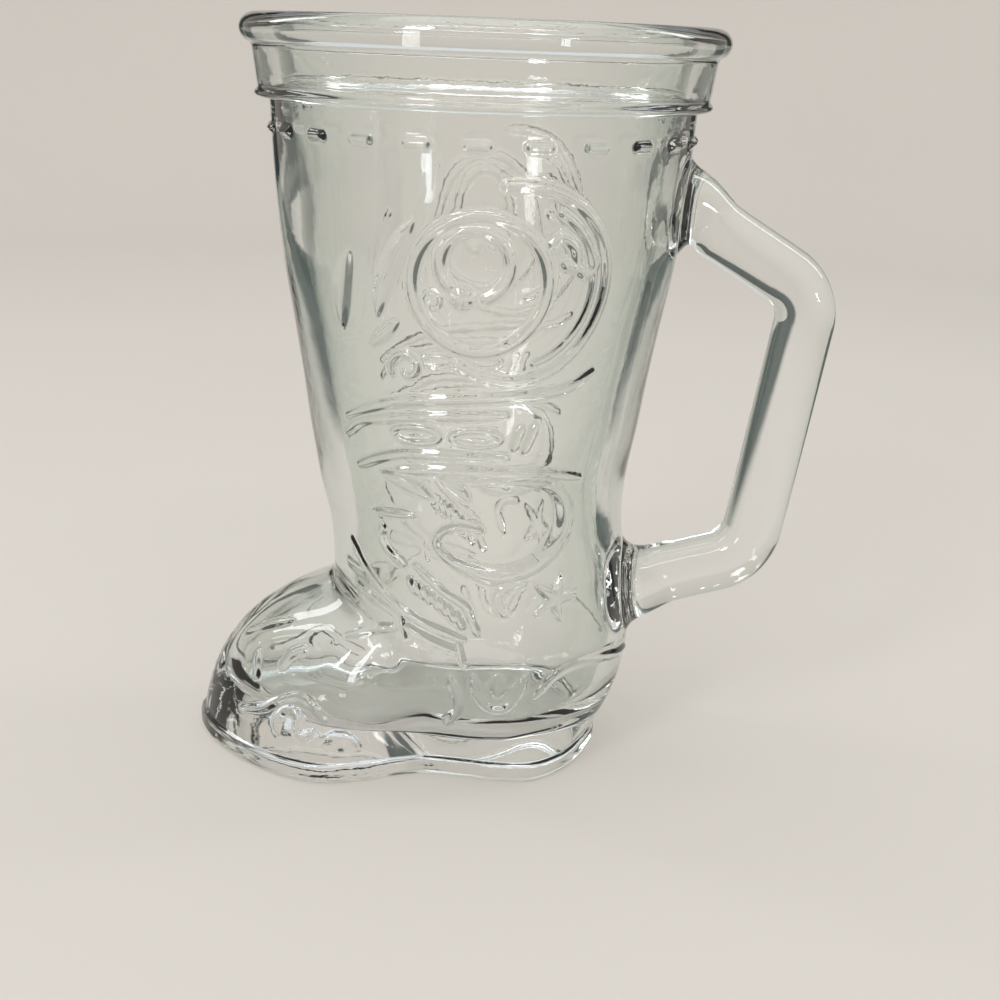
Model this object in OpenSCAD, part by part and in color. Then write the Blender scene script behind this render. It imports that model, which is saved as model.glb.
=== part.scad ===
// A clear pressed-glass drinking mug in the shape of a western boot, with a side handle.
// Units are millimetres. +Z is up, the toe points to -X and the handle to +X.
// The origin is on the standing face, under the axis of the round shaft.
// The real glass is one casting: each node is one region or one raised ornament of it.

/* [Rim and collar] */
// Height of the whole glass
glass_h = 150; // [140:1:165]
// Outer radius of the rim bead
rim_r = 47.5; // [46.5:0.1:50]
// Height of the rim bead
bead_h = 5.8; // [5:0.1:7]
// Radius of the drinking opening at the bead
mouth_r = 41.3; // [40:0.1:42]
// Outer radius of the collar just under the bead
collar_top_r = 45.2; // [44.6:0.1:46]
// Outer radius of the collar just above its ridge
collar_low_r = 44; // [43:0.1:44.4]
// Least wall thickness of the collar
collar_wall = 4; // [3.4:0.1:4.4]
// How far the bead draws in over the bore under it
bead_draw = 0.5; // [0.2:0.05:0.8]
// Height of the smooth collar
collar_h = 8; // [6:0.5:11]
// Height of the ridge at the foot of the collar
ridge_h = 1.8; // [1.4:0.1:2.6]
// How far the ridge stands out from the collar
ridge_out = 0.7; // [0.4:0.1:1.2]

/* [Shaft] */
// Outer radius of the shaft right under the ridge
shaft_top_r = 41.8; // [41:0.1:42.6]
// Outer radius of the shaft where it meets the foot
ankle_r = 31.7; // [30:0.1:33]
// Height at which the shaft meets the foot
ankle_z = 58; // [54:0.5:62]
// Wall thickness at the ankle
ankle_wall = 6; // [3:0.1:7]
// Wall thickness right under the ridge
top_wall = 2.8; // [2.4:0.1:3.2]

/* [Foot] */
// Distance of the toe tip from the shaft axis
toe_reach = 58.2; // [54:0.2:62]
// Distance of the back of the sole from the shaft axis
heel_reach = 28.6; // [27:0.2:30]
// Half width of the sole at the ball of the foot
ball_half = 29.7; // [28:0.1:31]
// Half width of the sole at its waist
waist_half = 22.4; // [21:0.1:24]
// Half width of the sole under the heel
seat_half = 25.8; // [25:0.1:27.5]
// Thickness of the sole edge
sole_h = 4.5; // [3.5:0.1:6]
// Ledge of the sole all round the upper
welt_ledge = 0.8; // [0.4:0.1:1.4]
// Height at which the toe dome would close
crown_h = 38.5; // [36:0.5:41]
// Rounding of the crease between the toe dome and the ankle
crease_round = 4; // [3:0.5:6]
// Height of the widest part of the heel
bulge_z = 26; // [23:0.5:29]
// Radius of the back of the heel at its widest
bulge_r = 34.6; // [33.5:0.1:36]
// Radius of the foot's sides below the ankle
flank_r = 30.8; // [30:0.1:31.6]
// Radius of the instep below the ankle
instep_r = 28.8; // [28:0.1:29.6]
// Wall thickness of the foot
foot_wall = 4.5; // [3.6:0.1:5.2]
// Thickness of the glass under the drink
floor_h = 8.5; // [7:0.1:10]
// Radius of the rounded edge of the floor inside
floor_round = 5; // [3:0.5:6]

/* [Handle] */
// Thickness of the handle bar, seen from the side
bar_t = 12; // [10:0.1:13]
// Width of the handle bar, seen from behind
bar_w = 13; // [11:0.1:15]
// Height of the middle of the upper root
upper_root_z = 116; // [113:0.5:118]
// Height of the middle of the lower root
lower_root_z = 36; // [34:0.5:38]
// Reach of the upper corner of the handle's centre line
upper_corner_x = 67.8; // [63:0.2:72]
// Height of the upper corner of the handle's centre line
upper_corner_z = 99.7; // [96:0.1:102]
// Reach of the lower corner of the handle's centre line
lower_corner_x = 59; // [56:0.2:62]
// Height of the lower corner of the handle's centre line
lower_corner_z = 43; // [40:0.2:46]
// Bend radius of the handle's centre line
corner_r = 10.5; // [8:0.5:13]
// Length over which each root swells to meet the wall
root_len = 11; // [8:0.5:13]
// Half height of each root on the wall
root_half_h = 9.2; // [8:0.1:10]
// Half width of each root on the wall
root_half_w = 9.4; // [8:0.1:10]

/* [Raised ornament] */
// How far the lines of the ornament stand out of the wall
line_out = 0.7; // [0.4:0.05:1]
// Half width of the lines of the ornament
line_half = 0.65; // [0.45:0.05:0.9]
// How far the filled shapes of the ornament stand out
pad_out = 0.8; // [0.5:0.05:1.2]
// Depth to which the ornament is fused into the wall
fuse = 0.25; // [0.2:0.05:0.4]
// Number of stitches round the shaft under the collar
stitch_count = 24; // [20:1:28]
// Distance from the ridge down to the row of stitches
stitch_drop = 5.5; // [4.5:0.1:7]
// Half length of a stitch under the collar
stitch_half_len = 2.7; // [2:0.1:3.4]
// Half height of a stitch under the collar
stitch_half_h = 1; // [0.7:0.05:1.3]
// Height of the middle of the medallion
medallion_z = 104.5; // [102:0.5:107]
// Radius of the outer ring of the medallion
medallion_r = 18; // [16:0.5:19]
// Height of the middle of the belt band
belt_z = 75.3; // [73:0.1:78]
// Half height of the belt band
belt_half = 4.4; // [3.8:0.1:5]
// Half length of a stitch on the belt
belt_stitch_half = 4.6; // [3.8:0.1:5.2]
// Half height of a stitch on the belt
belt_stitch_half_h = 1.8; // [1.3:0.1:2.3]
// Height of the middle of the large scroll
scroll_z = 56; // [54:0.5:58]
// Radius of the large scroll
scroll_r = 9.6; // [8.5:0.1:10.5]
// Height of the middle of the star
star_z = 41.3; // [39:0.1:43]
// Radius of the star to its points
star_r = 4.9; // [4:0.1:5.6]
// Height of the middle of the toe scroll
toe_scroll_z = 12.6; // [11:0.1:14]
// Radius of the toe scroll
toe_scroll_r = 3.6; // [3:0.1:4.2]
// Half width of the spur strap
strap_half = 2.3; // [1.8:0.1:2.8]

/* [Hidden] */

glass_tint = "#cfdcd4";
relief_tint = "#b4c8bf";
bead_z = glass_h - bead_h;
collar_z = bead_z - collar_h;
shaft_top_z = collar_z - ridge_h;
half_turn = 180;

// Value at x of a smooth curve through the stations [x, value] of a table
function slope(t, i) =
    let (a = max(i - 1, 0), b = min(i + 1, len(t) - 1)) (t[b][1] - t[a][1]) / (t[b][0] - t[a][0]);
function span_of(t, x, i = 0) = (i >= len(t) - 2 || x < t[i + 1][0]) ? i : span_of(t, x, i + 1);
function curve_at(t, x) =
    let (
        i = span_of(t, x),
        step = t[i + 1][0] - t[i][0],
        u = min(max((x - t[i][0]) / step, 0), 1),
        v = 1 - u
    )
    (1 + 2 * u) * v * v * t[i][1] + u * v * v * step * slope(t, i)
    + u * u * (3 - 2 * u) * t[i + 1][1] - u * u * v * step * slope(t, i + 1);
function mix(a, b, share) = a + (b - a) * share;

// Outline of the shaft, as shares of its height and of its growth in radius
shaft_shares = [[0, 0], [0.08, 0.1], [0.18, 0.23], [0.3, 0.36], [0.445, 0.54], [0.615, 0.76],
    [0.81, 0.91], [1, 1]];
shaft_line = [for (s = shaft_shares)
    [mix(ankle_z, shaft_top_z, s[0]), mix(ankle_r, shaft_top_r, s[1])]];
function shaft_r(z) = curve_at(shaft_line, z);

// Inside of the glass from the ankle to the mouth, at the same stations and then at the bead
wall_shares = [0, 0.1, 0.2, 0.3, 0.4, 0.5, 0.5, 1];
function wall_at(i) = mix(ankle_wall, top_wall, wall_shares[i]);
bore_line = concat(
    [for (i = [0 : len(shaft_line) - 1]) [shaft_line[i][0], shaft_line[i][1] - wall_at(i)]],
    [[bead_z, mouth_r - bead_draw], [bead_z + bead_h / 2, mouth_r]]);
function collar_r(z) = mix(collar_low_r, collar_top_r, (z - collar_z) / collar_h);
function bore_r(z) =
    let (r = curve_at(bore_line, z)) z < collar_z ? r : min(r, collar_r(z) - collar_wall);

// Sole outline from the toe tip to the back of the heel: shares of the reach and of the half width
toe_plan_shares = [[1, 0], [0.952, 0.293], [0.873, 0.519], [0.753, 0.754], [0.619, 0.923],
    [0.481, 1], [0.349, 0.953], [0.241, 0.835]];
waist_plan_shares = [[0.129, 1], [0, 1.036]];
seat_plan_shares = [[0.28, 1], [0.507, 0.984], [0.7, 0.826], [0.89, 0.484], [1, 0]];
plan = concat(
    [for (s = toe_plan_shares) [-s[0] * toe_reach, s[1] * ball_half]],
    [for (s = waist_plan_shares) [-s[0] * toe_reach, s[1] * waist_half]],
    [for (s = seat_plan_shares) [s[0] * heel_reach, s[1] * seat_half]]);
// The same outline as radius against the angle from the toe, closed by its mirror image
plan_half = [for (p = plan) [atan2(p[1], -p[0]), norm(p)]];
plan_last = len(plan_half) - 1;
plan_polar = concat([[-plan_half[1][0], plan_half[1][1]]], plan_half,
    [[2 * half_turn - plan_half[plan_last - 1][0], plan_half[plan_last - 1][1]]]);
function plan_r(a) = curve_at(plan_polar, a);

// Ankle and heel column: its back, flank and front radius against the height
back_shares = [[0, 0], [0.44, 0.45], [0.75, 0.9], [1, 1]];
flank_shares = [[0, 0], [0.44, 0], [0.75, 0.22], [1, 1]];
front_shares = [[0, 0], [0.44, 0], [0.75, 0.28], [1, 1]];
function column_part(shares, low_r, z) =
    mix(low_r, ankle_r, curve_at(shares, (z - bulge_z) / (ankle_z - bulge_z)));
function column_r(a, z, inset) =
    let (
        back = column_part(back_shares, bulge_r, z),
        flank = column_part(flank_shares, flank_r, z),
        front = column_part(front_shares, instep_r, z)
    )
    flank + (front - back) / 2 * cos(a) + ((front + back) / 2 - flank) * cos(a) * cos(a) - inset;

// Outer wall of the foot at an angle from the toe and a height, or the bore with an inset
flare_power = 1.6;
dome_power = 0.33;
function blend_max(a, b, round) =
    let (h = max(round - abs(a - b), 0) / round) max(a, b) + h * h * round / 4;
function foot_r(a, z, inset = 0) =
    let (
        edge = plan_r(a) - welt_ledge - inset,
        fall = pow(max(1 - z / bulge_z, 0), flare_power),
        gap = max(column_r(a, bulge_z, inset) - edge, 0),
        column = column_r(a, z, inset) - gap * fall,
        rise = min(z / (crown_h - inset), 1),
        toe = edge * pow(max(1 - rise * rise, 0), dome_power)
    )
    blend_max(toe, column, crease_round);
function wall_r(a, z) = z >= ankle_z ? shaft_r(z) : foot_r(min(abs(a), 2 * half_turn - abs(a)), z);

// Angles round the foot, closer at the toe, and heights up its wall, closer over the dome.
// The vamp and the heel counter meet at the split angle, counted from the toe.
split_angle = 75.6;
toe_steps = 21;
heel_steps = 17;
toe_angles = [for (i = [0 : toe_steps - 1]) split_angle * i / toe_steps];
heel_angles = [for (i = [0 : heel_steps]) mix(split_angle, half_turn, i / heel_steps)];
outer_rise_shares = [0, 0.06, 0.13, 0.2, 0.26, 0.32, 0.37, 0.41, 0.445, 0.475, 0.5, 0.52, 0.537, 0.553,
    0.568, 0.583, 0.6, 0.62, 0.65, 0.7, 0.77, 0.84, 0.92, 1];
inner_rise_shares = [0, 0.012, 0.04, 0.09, 0.16, 0.24, 0.32, 0.37, 0.405, 0.43, 0.45, 0.465, 0.48,
    0.5, 0.54, 0.62, 0.73, 0.86, 1];
outer_heights = [for (s = outer_rise_shares) mix(sole_h, ankle_z, s)];
inner_heights = [for (s = inner_rise_shares) mix(floor_h, ankle_z, s)];
// Radius of the bore in the foot, rounded into the floor
function bore_foot_r(a, z) =
    let (
        up = min((z - floor_h) / floor_round, 1),
        corner = floor_round * (1 - sqrt(max(1 - (1 - up) * (1 - up), 0))),
        share = (z - bulge_z) / (ankle_z - bulge_z),
        inset = mix(foot_wall, ankle_wall, min(max(share, 0), 1))
    )
    foot_r(a, z, inset) - corner;

// Points of one wall section of the foot, from the axis out, up, over and back to the axis
function at_angle(a, r, z) = [-r * cos(a), -r * sin(a), z];
function fold_angle(a) = min(abs(a), 2 * half_turn - abs(a));
function section(a) = concat(
    [for (z = outer_heights) at_angle(a, foot_r(fold_angle(a), z), z)],
    [for (i = [len(inner_heights) - 1 : -1 : 0])
        at_angle(a, bore_foot_r(fold_angle(a), inner_heights[i]), inner_heights[i])]);

// Bore row that faces an outer row where a section is closed by a strip of triangles
outer_last = len(outer_heights) - 1;
inner_last = len(inner_heights) - 1;
function facing_row(k) = round(k * inner_last / outer_last);
function turned_over(faces) = [for (f = faces) [for (k = [len(f) - 1 : -1 : 0]) f[k]]];

// Closed solid between the first and the last angle: two points on the axis close its floor
module foot_sector(angles) {
    rows = [for (a = angles) section(a)];
    m = len(rows[0]);
    n = len(rows);
    points = concat([[0, 0, sole_h], [0, 0, floor_h]], [for (r = rows) each r]);
    function at(i, k) = 2 + i * m + k;
    skin = [for (i = [0 : n - 2], k = [0 : m - 2])
        each [[at(i, k), at(i, k + 1), at(i + 1, k + 1)], [at(i, k), at(i + 1, k + 1), at(i + 1, k)]]];
    base = [for (i = [0 : n - 2]) [0, at(i, 0), at(i + 1, 0)]];
    basin = [for (i = [0 : n - 2]) [1, at(i + 1, m - 1), at(i, m - 1)]];
    function bore_at(i, k) = at(i, m - 1 - k);
    function end_faces(i) = concat(
        [[0, 1, bore_at(i, 0), at(i, 0)]],
        [for (k = [0 : outer_last - 1]) each concat(
            [[at(i, k + 1), at(i, k), bore_at(i, facing_row(k))]],
            [for (j = [facing_row(k) : 1 : facing_row(k + 1) - 1])
                [bore_at(i, j), bore_at(i, j + 1), at(i, k + 1)]])]);
    ends = concat(end_faces(0), turned_over(end_faces(n - 1)));
    polyhedron(points, concat(skin, base, basin, ends), convexity = 6);
}

// Ring turned about the shaft axis: the outline is between the bore and the listed outer points
turn_sides = 128;
module turned(outer, z0, z1, steps) {
    inner = [for (i = [steps : -1 : 0]) let (z = mix(z0, z1, i / steps)) [bore_r(z), z]];
    rotate_extrude($fn = turn_sides) polygon(concat(outer, inner));
}
function arc_points(cx, cy, rx, ry, from, to, steps) =
    [for (i = [0 : steps]) let (a = mix(from, to, i / steps)) [cx + rx * cos(a), cy + ry * sin(a)]];

// The bead is a flattened round whose underside flows into the collar
bead_arc = [-55, 180];
bead_steps = 20;
module rim_bead() {
    half_w = (rim_r - mouth_r) / 2;
    color(glass_tint)
        rotate_extrude($fn = turn_sides)
            polygon(concat(
                [[bore_r(bead_z), bead_z], [collar_top_r, bead_z]],
                arc_points(rim_r - half_w, glass_h - bead_h / 2, half_w, bead_h / 2,
                    bead_arc[0], bead_arc[1], bead_steps)));
}

collar_steps = 4;
module collar_band() {
    color(glass_tint)
        turned([[collar_low_r, collar_z], [collar_top_r, bead_z]], collar_z, bead_z, collar_steps);
}

// The ridge is a half round that stands out of the foot of the collar and covers the shaft's top
ridge_steps = 8;
module collar_ridge() {
    half_h = ridge_h / 2;
    core_r = max(collar_low_r, shaft_top_r) - half_h;
    color(glass_tint)
        turned(arc_points(core_r, collar_z - half_h, half_h + ridge_out, half_h,
            -half_turn / 2, half_turn / 2, ridge_steps), shaft_top_z, collar_z, 1);
}

shaft_steps = 18;
module shaft() {
    outer = [for (i = [0 : shaft_steps])
        let (z = mix(ankle_z, shaft_top_z, i / shaft_steps)) [shaft_r(z), z]];
    color(glass_tint) turned(outer, ankle_z, shaft_top_z, shaft_steps);
}

module vamp() {
    last = len(toe_angles) - 1;
    angles = concat([for (i = [last : -1 : 1]) -toe_angles[i]], toe_angles, [heel_angles[0]]);
    color(glass_tint) foot_sector(concat([-heel_angles[0]], angles));
}

module heel_counter() {
    last = len(heel_angles) - 1;
    other_side = [for (i = [last - 1 : -1 : 0]) 2 * half_turn - heel_angles[i]];
    color(glass_tint) foot_sector(concat(heel_angles, other_side));
}

module sole() {
    near = concat(toe_angles, heel_angles);
    far = [for (i = [len(near) - 2 : -1 : 1]) 2 * half_turn - near[i]];
    color(glass_tint)
        linear_extrude(height = sole_h)
            polygon([for (a = concat(near, far)) let (r = plan_r(fold_angle(a)))
                [-r * cos(a), -r * sin(a)]]);
}

// Closed solid through rows of points, each row a loop with as many points as the next
module loft(rows, closed = false) {
    m = len(rows[0]);
    n = len(rows);
    function at(i, k) = (i % n) * m + k % m;
    skin = [for (i = [0 : closed ? n - 1 : n - 2], k = [0 : m - 1])
        each [[at(i, k), at(i + 1, k + 1), at(i, k + 1)], [at(i, k), at(i + 1, k), at(i + 1, k + 1)]]];
    ends = closed ? [] : [[for (k = [0 : m - 1]) k], [for (k = [m - 1 : -1 : 0]) at(n - 1, k)]];
    polyhedron([for (r = rows) each r], concat(skin, ends), convexity = 8);
}

// Handle: centre line in the XZ plane as stations [x, z, heading], straight but for two bends
upper_root = [shaft_r(upper_root_z), upper_root_z];
upper_corner = [upper_corner_x, upper_corner_z];
lower_corner = [lower_corner_x, lower_corner_z];
lower_root = [wall_r(half_turn, lower_root_z), lower_root_z];
function heading(p, q) = let (d = q - p) -abs(atan2(d[1], d[0]));
upper_dir = heading(upper_root, upper_corner);
grip_dir = heading(upper_corner, lower_corner);
lower_dir = heading(lower_corner, lower_root);
function along(p, dir, d) = p + d * [cos(dir), sin(dir)];
function bend_centre(corner, dir, turn) =
    along(corner, dir, -corner_r * tan(turn / 2)) + corner_r * [sin(dir), -cos(dir)];
function bend_line(corner, from, to, steps) =
    let (c = bend_centre(corner, from, from - to))
    [for (i = [0 : steps]) let (h = mix(from, to, i / steps))
        [c[0] - corner_r * sin(h), c[1] + corner_r * cos(h), h]];
bend_steps = 7;
upper_bend = bend_line(upper_corner, upper_dir, grip_dir, bend_steps);
lower_bend = bend_line(lower_corner, grip_dir, lower_dir, bend_steps);

// Bar section: half sizes and a rounded square outline, with one point for each of its sides
bar_sides = 20;
bar_power = 2 / 2.6;
function signed_power(v, e) = sign(v) * pow(abs(v), e);
function bar_outline(half_w, half_t) = [for (k = [0 : bar_sides - 1])
    let (a = k * 2 * half_turn / bar_sides)
    [half_w * signed_power(cos(a), bar_power), half_t * signed_power(sin(a), bar_power)]];
function swell(d) = pow(max(1 - d / root_len, 0), 2);
function bar_ring(station, d) =
    let (
        half_w = mix(bar_w / 2, root_half_w, swell(d)),
        half_t = mix(bar_t / 2, root_half_h, swell(d)),
        out = [-sin(station[2]), cos(station[2])]
    )
    [for (p = bar_outline(half_w, half_t)) [station[0] + p[1] * out[0], p[0], station[1] + p[1] * out[1]]];
// Part of a root that lies on the wall, sunk by the depth of fusing
function wall_x(y, z) =
    let (r = wall_r(half_turn - asin(abs(y) / wall_r(half_turn, z)), z)) sqrt(r * r - y * y);
function root_ring(root, share, upward) = [for (p = bar_outline(root_half_w * share, root_half_h * share))
    [wall_x(p[0], root[1] + upward * p[1]) - fuse, p[0], root[1] + upward * p[1]]];
root_rings = [0.04, 0.5, 1];
root_stations = [0.3, 0.5, 0.75, 1];

module handle_upper_arm() {
    rings = [for (s = root_stations)
        let (p = along(upper_root, upper_dir, s * root_len))
        bar_ring([p[0], p[1], mix(0, upper_dir, s)], s * root_len)];
    color(glass_tint)
        loft(concat([for (s = root_rings) root_ring(upper_root, s, 1)], rings,
            [for (s = upper_bend) bar_ring(s, root_len)]));
}

module handle_grip() {
    color(glass_tint)
        loft([bar_ring(upper_bend[bend_steps], root_len), bar_ring(lower_bend[0], root_len)]);
}

module handle_lower_arm() {
    back = lower_dir + half_turn;
    rings = [for (i = [len(root_stations) - 1 : -1 : 0])
        let (s = root_stations[i], p = along(lower_root, back, s * root_len))
        bar_ring([p[0], p[1], mix(-half_turn, lower_dir, s)], s * root_len)];
    color(glass_tint)
        loft(concat([for (s = lower_bend) bar_ring(s, root_len)], rings,
            [for (i = [len(root_rings) - 1 : -1 : 0]) root_ring(lower_root, root_rings[i], -1)]));
}

// A place on the outside of the wall: degrees from the middle of the left side towards the heel,
// height, and distance out from the wall
side_angle = 90;
function on_wall(t, z, out) =
    let (a = side_angle + t) at_angle(a, wall_r(a, z) + out, z);
function mm_per_degree(t, z) = wall_r(side_angle + t, z) * PI / half_turn;
// Degrees that a distance along the wall from the middle of the side comes to
function degrees_at(x, z) = x / mm_per_degree(0, z);

// Raised line along places [degrees, height]
crest_share = 0.55;
function line_row(path, i, closed, half, out) =
    let (
        n = len(path),
        before = closed ? path[(i + n - 1) % n] : path[max(i - 1, 0)],
        after = closed ? path[(i + 1) % n] : path[min(i + 1, n - 1)],
        scale_x = mm_per_degree(path[i][0], path[i][1]),
        run = [(after[0] - before[0]) * scale_x, after[1] - before[1]],
        dir = run / norm(run)
    )
    [for (p = [[half, -fuse], [half * crest_share, out], [-half * crest_share, out], [-half, -fuse]])
        on_wall(path[i][0] - dir[1] * p[0] / scale_x, path[i][1] + dir[0] * p[0], p[1])];
module raised_line(path, closed = false, half = line_half, out = line_out) {
    loft([for (i = [0 : len(path) - 1]) line_row(path, i, closed, half, out)], closed);
}

// Paths on the wall: an arc or a spiral round a place, and a smooth line through places
function spiral_path(t, z, r0, r1, from, to, steps) =
    let (scale_x = mm_per_degree(t, z))
    [for (i = [0 : steps]) let (a = mix(from, to, i / steps), r = mix(r0, r1, i / steps))
        [t + r * cos(a) / scale_x, z + r * sin(a)]];
function ring_path(t, z, rx, rz, steps, tilt = 0) =
    let (scale_x = mm_per_degree(t, z))
    [for (i = [0 : steps - 1])
        let (a = 2 * half_turn * i / steps, x = rx * cos(a), y = rz * sin(a))
        [t + (x * cos(tilt) - y * sin(tilt)) / scale_x, z + x * sin(tilt) + y * cos(tilt)]];
function smooth_path(places, steps) =
    let (last = len(places) - 1)
    [for (i = [0 : steps * last])
        let (u = i / steps)
        [curve_at([for (k = [0 : last]) [k, places[k][0]]], u),
            curve_at([for (k = [0 : last]) [k, places[k][1]]], u)]];

// Filled shape on the wall, from an outline of [x, z] round its own middle: its domed profile is
// given as shares of the outline and of the height
pad_core_share = 0.05;
pad_profile_shares = [[0.8, 0.75], [0.45, 1], [pad_core_share, 1]];
function pad_row(t, z, outline, share, out) =
    let (scale_x = mm_per_degree(t, z))
    [for (p = outline) on_wall(t + share * p[0] / scale_x, z + share * p[1], out)];
module raised_pad(t, z, outline, out = pad_out) {
    base = [for (share = [pad_core_share, 1]) pad_row(t, z, outline, share, -fuse)];
    loft(concat(base, [for (s = pad_profile_shares) pad_row(t, z, outline, s[0], s[1] * out)]));
}
function oval(rx, rz, steps, tilt = 0, point = 1) = [for (i = [0 : steps - 1])
    let (a = 2 * half_turn * i / steps, x = rx * cos(a), y = rz * sin(a) * pow(abs(sin(a)), point - 1))
    [x * cos(tilt) - y * sin(tilt), x * sin(tilt) + y * cos(tilt)]];
star_points = 5;
star_waist_share = 0.45;
function star_outline(r, tilt) = [for (i = [0 : 2 * star_points - 1])
    let (a = tilt + i * half_turn / star_points, k = i % 2 == 0 ? r : r * star_waist_share)
    [k * cos(a), k * sin(a)]];

// The ornament is drawn on the left side and mirrored for the right side
module on_side(right) {
    if (right) mirror([0, 1, 0]) children();
    else children();
}

// Places of an ornament: shares of its size, round its middle [degrees, height]
line_steps = 3;
function places(t, z, size, shares) =
    let (scale_x = mm_per_degree(t, z)) [for (s = shares) [t + s[0] * size / scale_x, z + s[1] * size]];

// Row of stitches under the collar, all the way round
round_sides = 12;
module top_stitches() {
    row_z = shaft_top_z - stitch_drop;
    stitch = oval(stitch_half_len, stitch_half_h, round_sides);
    color(relief_tint)
        for (i = [0 : stitch_count - 1])
            raised_pad(i * 2 * half_turn / stitch_count, row_z, stitch);
}

// Medallion: an outer arc, a ring, a scroll inside the ring that ends in a ball, and a small curl.
// Arcs and scrolls are [distance from the middle of the side, height, start radius, end radius] as
// shares of the medallion's radius, and their angles are [start, end].
outer_arc_shares = [0.42, 0, 1, 1];
outer_arc_span = [-125, 98];
ring_shares = [0.06, 0, 0.69];
scroll_in_shares = [0, 0.21, 0.36, 0.34];
scroll_in_span = [-68, 220];
ball_shares = [-0.115, -0.13, 0.13];
curl_share = 0.96;
curl_t = degrees_at(curl_share * medallion_r, medallion_z);
curl_shares = [[-0.22, 0.42], [-0.1, 0.5], [0.05, 0.38], [0.09, 0.21], [0.19, 0.12], [0.29, 0.2],
    [0.24, 0.31]];
ring_steps = 32;
function medallion_height(share) = medallion_z + share * medallion_r;
function medallion_turn(s) = degrees_at(s[0] * medallion_r, medallion_height(s[1]));
module medallion_arc(shares, span, steps) {
    raised_line(spiral_path(medallion_turn(shares), medallion_height(shares[1]),
        shares[2] * medallion_r, shares[3] * medallion_r, span[0], span[1], steps));
}
module medallion(right) {
    ring = ring_shares[2] * medallion_r;
    ball = ball_shares[2] * medallion_r;
    color(relief_tint) on_side(right) {
        medallion_arc(outer_arc_shares, outer_arc_span, ring_steps);
        raised_line(ring_path(medallion_turn(ring_shares), medallion_z, ring, ring, ring_steps),
            closed = true);
        medallion_arc(scroll_in_shares, scroll_in_span, ring_steps);
        raised_pad(medallion_turn(ball_shares), medallion_height(ball_shares[1]),
            oval(ball, ball, round_sides));
        raised_line(smooth_path(places(curl_t, medallion_z, medallion_r, curl_shares), line_steps));
    }
}
module medallion_left() { medallion(false); }
module medallion_right() { medallion(true); }

// Petals beside the medallion: [distance, height, half length, half width] as shares, and the tilt
petal_shares = [[-1.44, -0.16, 0.4, 0.115, 76], [-0.83, 0.11, 0.52, 0.115, 66],
    [-0.935, -0.56, 0.22, 0.07, 40]];
tendril_shares = [-0.675, -0.9, 0.19, 0.07];
tendril_span = [200, -110];
leaf_sides = 16;
module petals(right) {
    r = medallion_r;
    color(relief_tint) on_side(right) {
        for (p = petal_shares)
            raised_pad(medallion_turn(p), medallion_height(p[1]),
                oval(p[2] * r, p[3] * r, leaf_sides, p[4]));
        medallion_arc(tendril_shares, tendril_span, leaf_sides);
    }
}
module petals_left() { petals(false); }
module petals_right() { petals(true); }

// Belt band: lines as [degrees, share of the half height], and two short slanted strokes
belt_line_shares = [
    [[-43, 0.3], [-27, 1.2], [-14, 1.6], [7, 1.85], [22, 2], [31, 2.25], [38, 2.85]],
    [[-44, -0.5], [-36, 0.25], [-25, 0.6], [-10, 0.9], [11, 1.1]],
    [[-40, -1.9], [-27, -1.15], [-15, -0.87], [12, -0.87]],
    [[-24, -1.75], [-3, -1.5], [24, -1.7], [40, -2.1]]];
stroke_shares = [[[14, -0.45], [16, 0.5]], [[17.5, -0.6], [20.5, 0.55]]];
module belt_lines(right) {
    color(relief_tint) on_side(right)
        for (line = concat(belt_line_shares, stroke_shares))
            raised_line(smooth_path([for (s = line) [s[0], belt_z + s[1] * belt_half]], line_steps));
}
module belt_lines_left() { belt_lines(false); }
module belt_lines_right() { belt_lines(true); }

belt_stitch_angles = [-17, 2];
module belt_stitches(right) {
    color(relief_tint) on_side(right)
        for (t = belt_stitch_angles)
            raised_line(ring_path(t, belt_z, belt_stitch_half, belt_stitch_half_h, leaf_sides),
                closed = true);
}
module belt_stitches_left() { belt_stitches(false); }
module belt_stitches_right() { belt_stitches(true); }

// Leaves under the belt: [degrees, height, half length, half width] as shares of the scroll, and tilt
leaf_shares = [[-21, 0.875, 0.6, 0.2, -20], [-4.5, 0.9, 0.37, 0.16, -37], [-27, 0.23, 0.5, 0.1, 3]];
leaf_point = 1.3;
leaf_curl_t = -28;
leaf_curl_shares = [[-0.2, -0.08], [-0.3, -0.38], [-0.1, -0.66], [0.2, -0.88]];
module leaf_spray(right) {
    color(relief_tint) on_side(right) {
        for (s = leaf_shares)
            raised_pad(s[0], scroll_z + s[1] * scroll_r,
                oval(s[2] * scroll_r, s[3] * scroll_r, leaf_sides, s[4], leaf_point));
        raised_line(smooth_path(places(leaf_curl_t, scroll_z, scroll_r, leaf_curl_shares), line_steps));
    }
}
module leaf_spray_left() { leaf_spray(false); }
module leaf_spray_right() { leaf_spray(true); }

// Large scroll: its outer and inner lines, as shares of its radius
scroll_t = 21;
scroll_outer_shares = [[-0.58, 0.97], [-0.12, 1.03], [0.47, 0.84], [0.95, 0.5], [1.18, 0.08], [1.08, -0.4],
    [0.64, -0.79], [0, -1.02], [-0.58, -1.07], [-1.11, -0.89], [-1.52, -0.55], [-1.63, -0.19],
    [-1.46, 0.08], [-1.17, 0.22], [-0.76, 0.24]];
scroll_inner_shares = [[0.4, 0.62], [0.56, 0.3], [0.45, -0.12], [0.05, -0.42], [-0.45, -0.52],
    [-0.76, -0.32], [-0.84, -0.02]];
module large_scroll(right) {
    color(relief_tint) on_side(right)
        for (line = [scroll_outer_shares, scroll_inner_shares])
            raised_line(smooth_path(places(scroll_t, scroll_z, scroll_r, line), line_steps));
}
module large_scroll_left() { large_scroll(false); }
module large_scroll_right() { large_scroll(true); }

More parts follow.
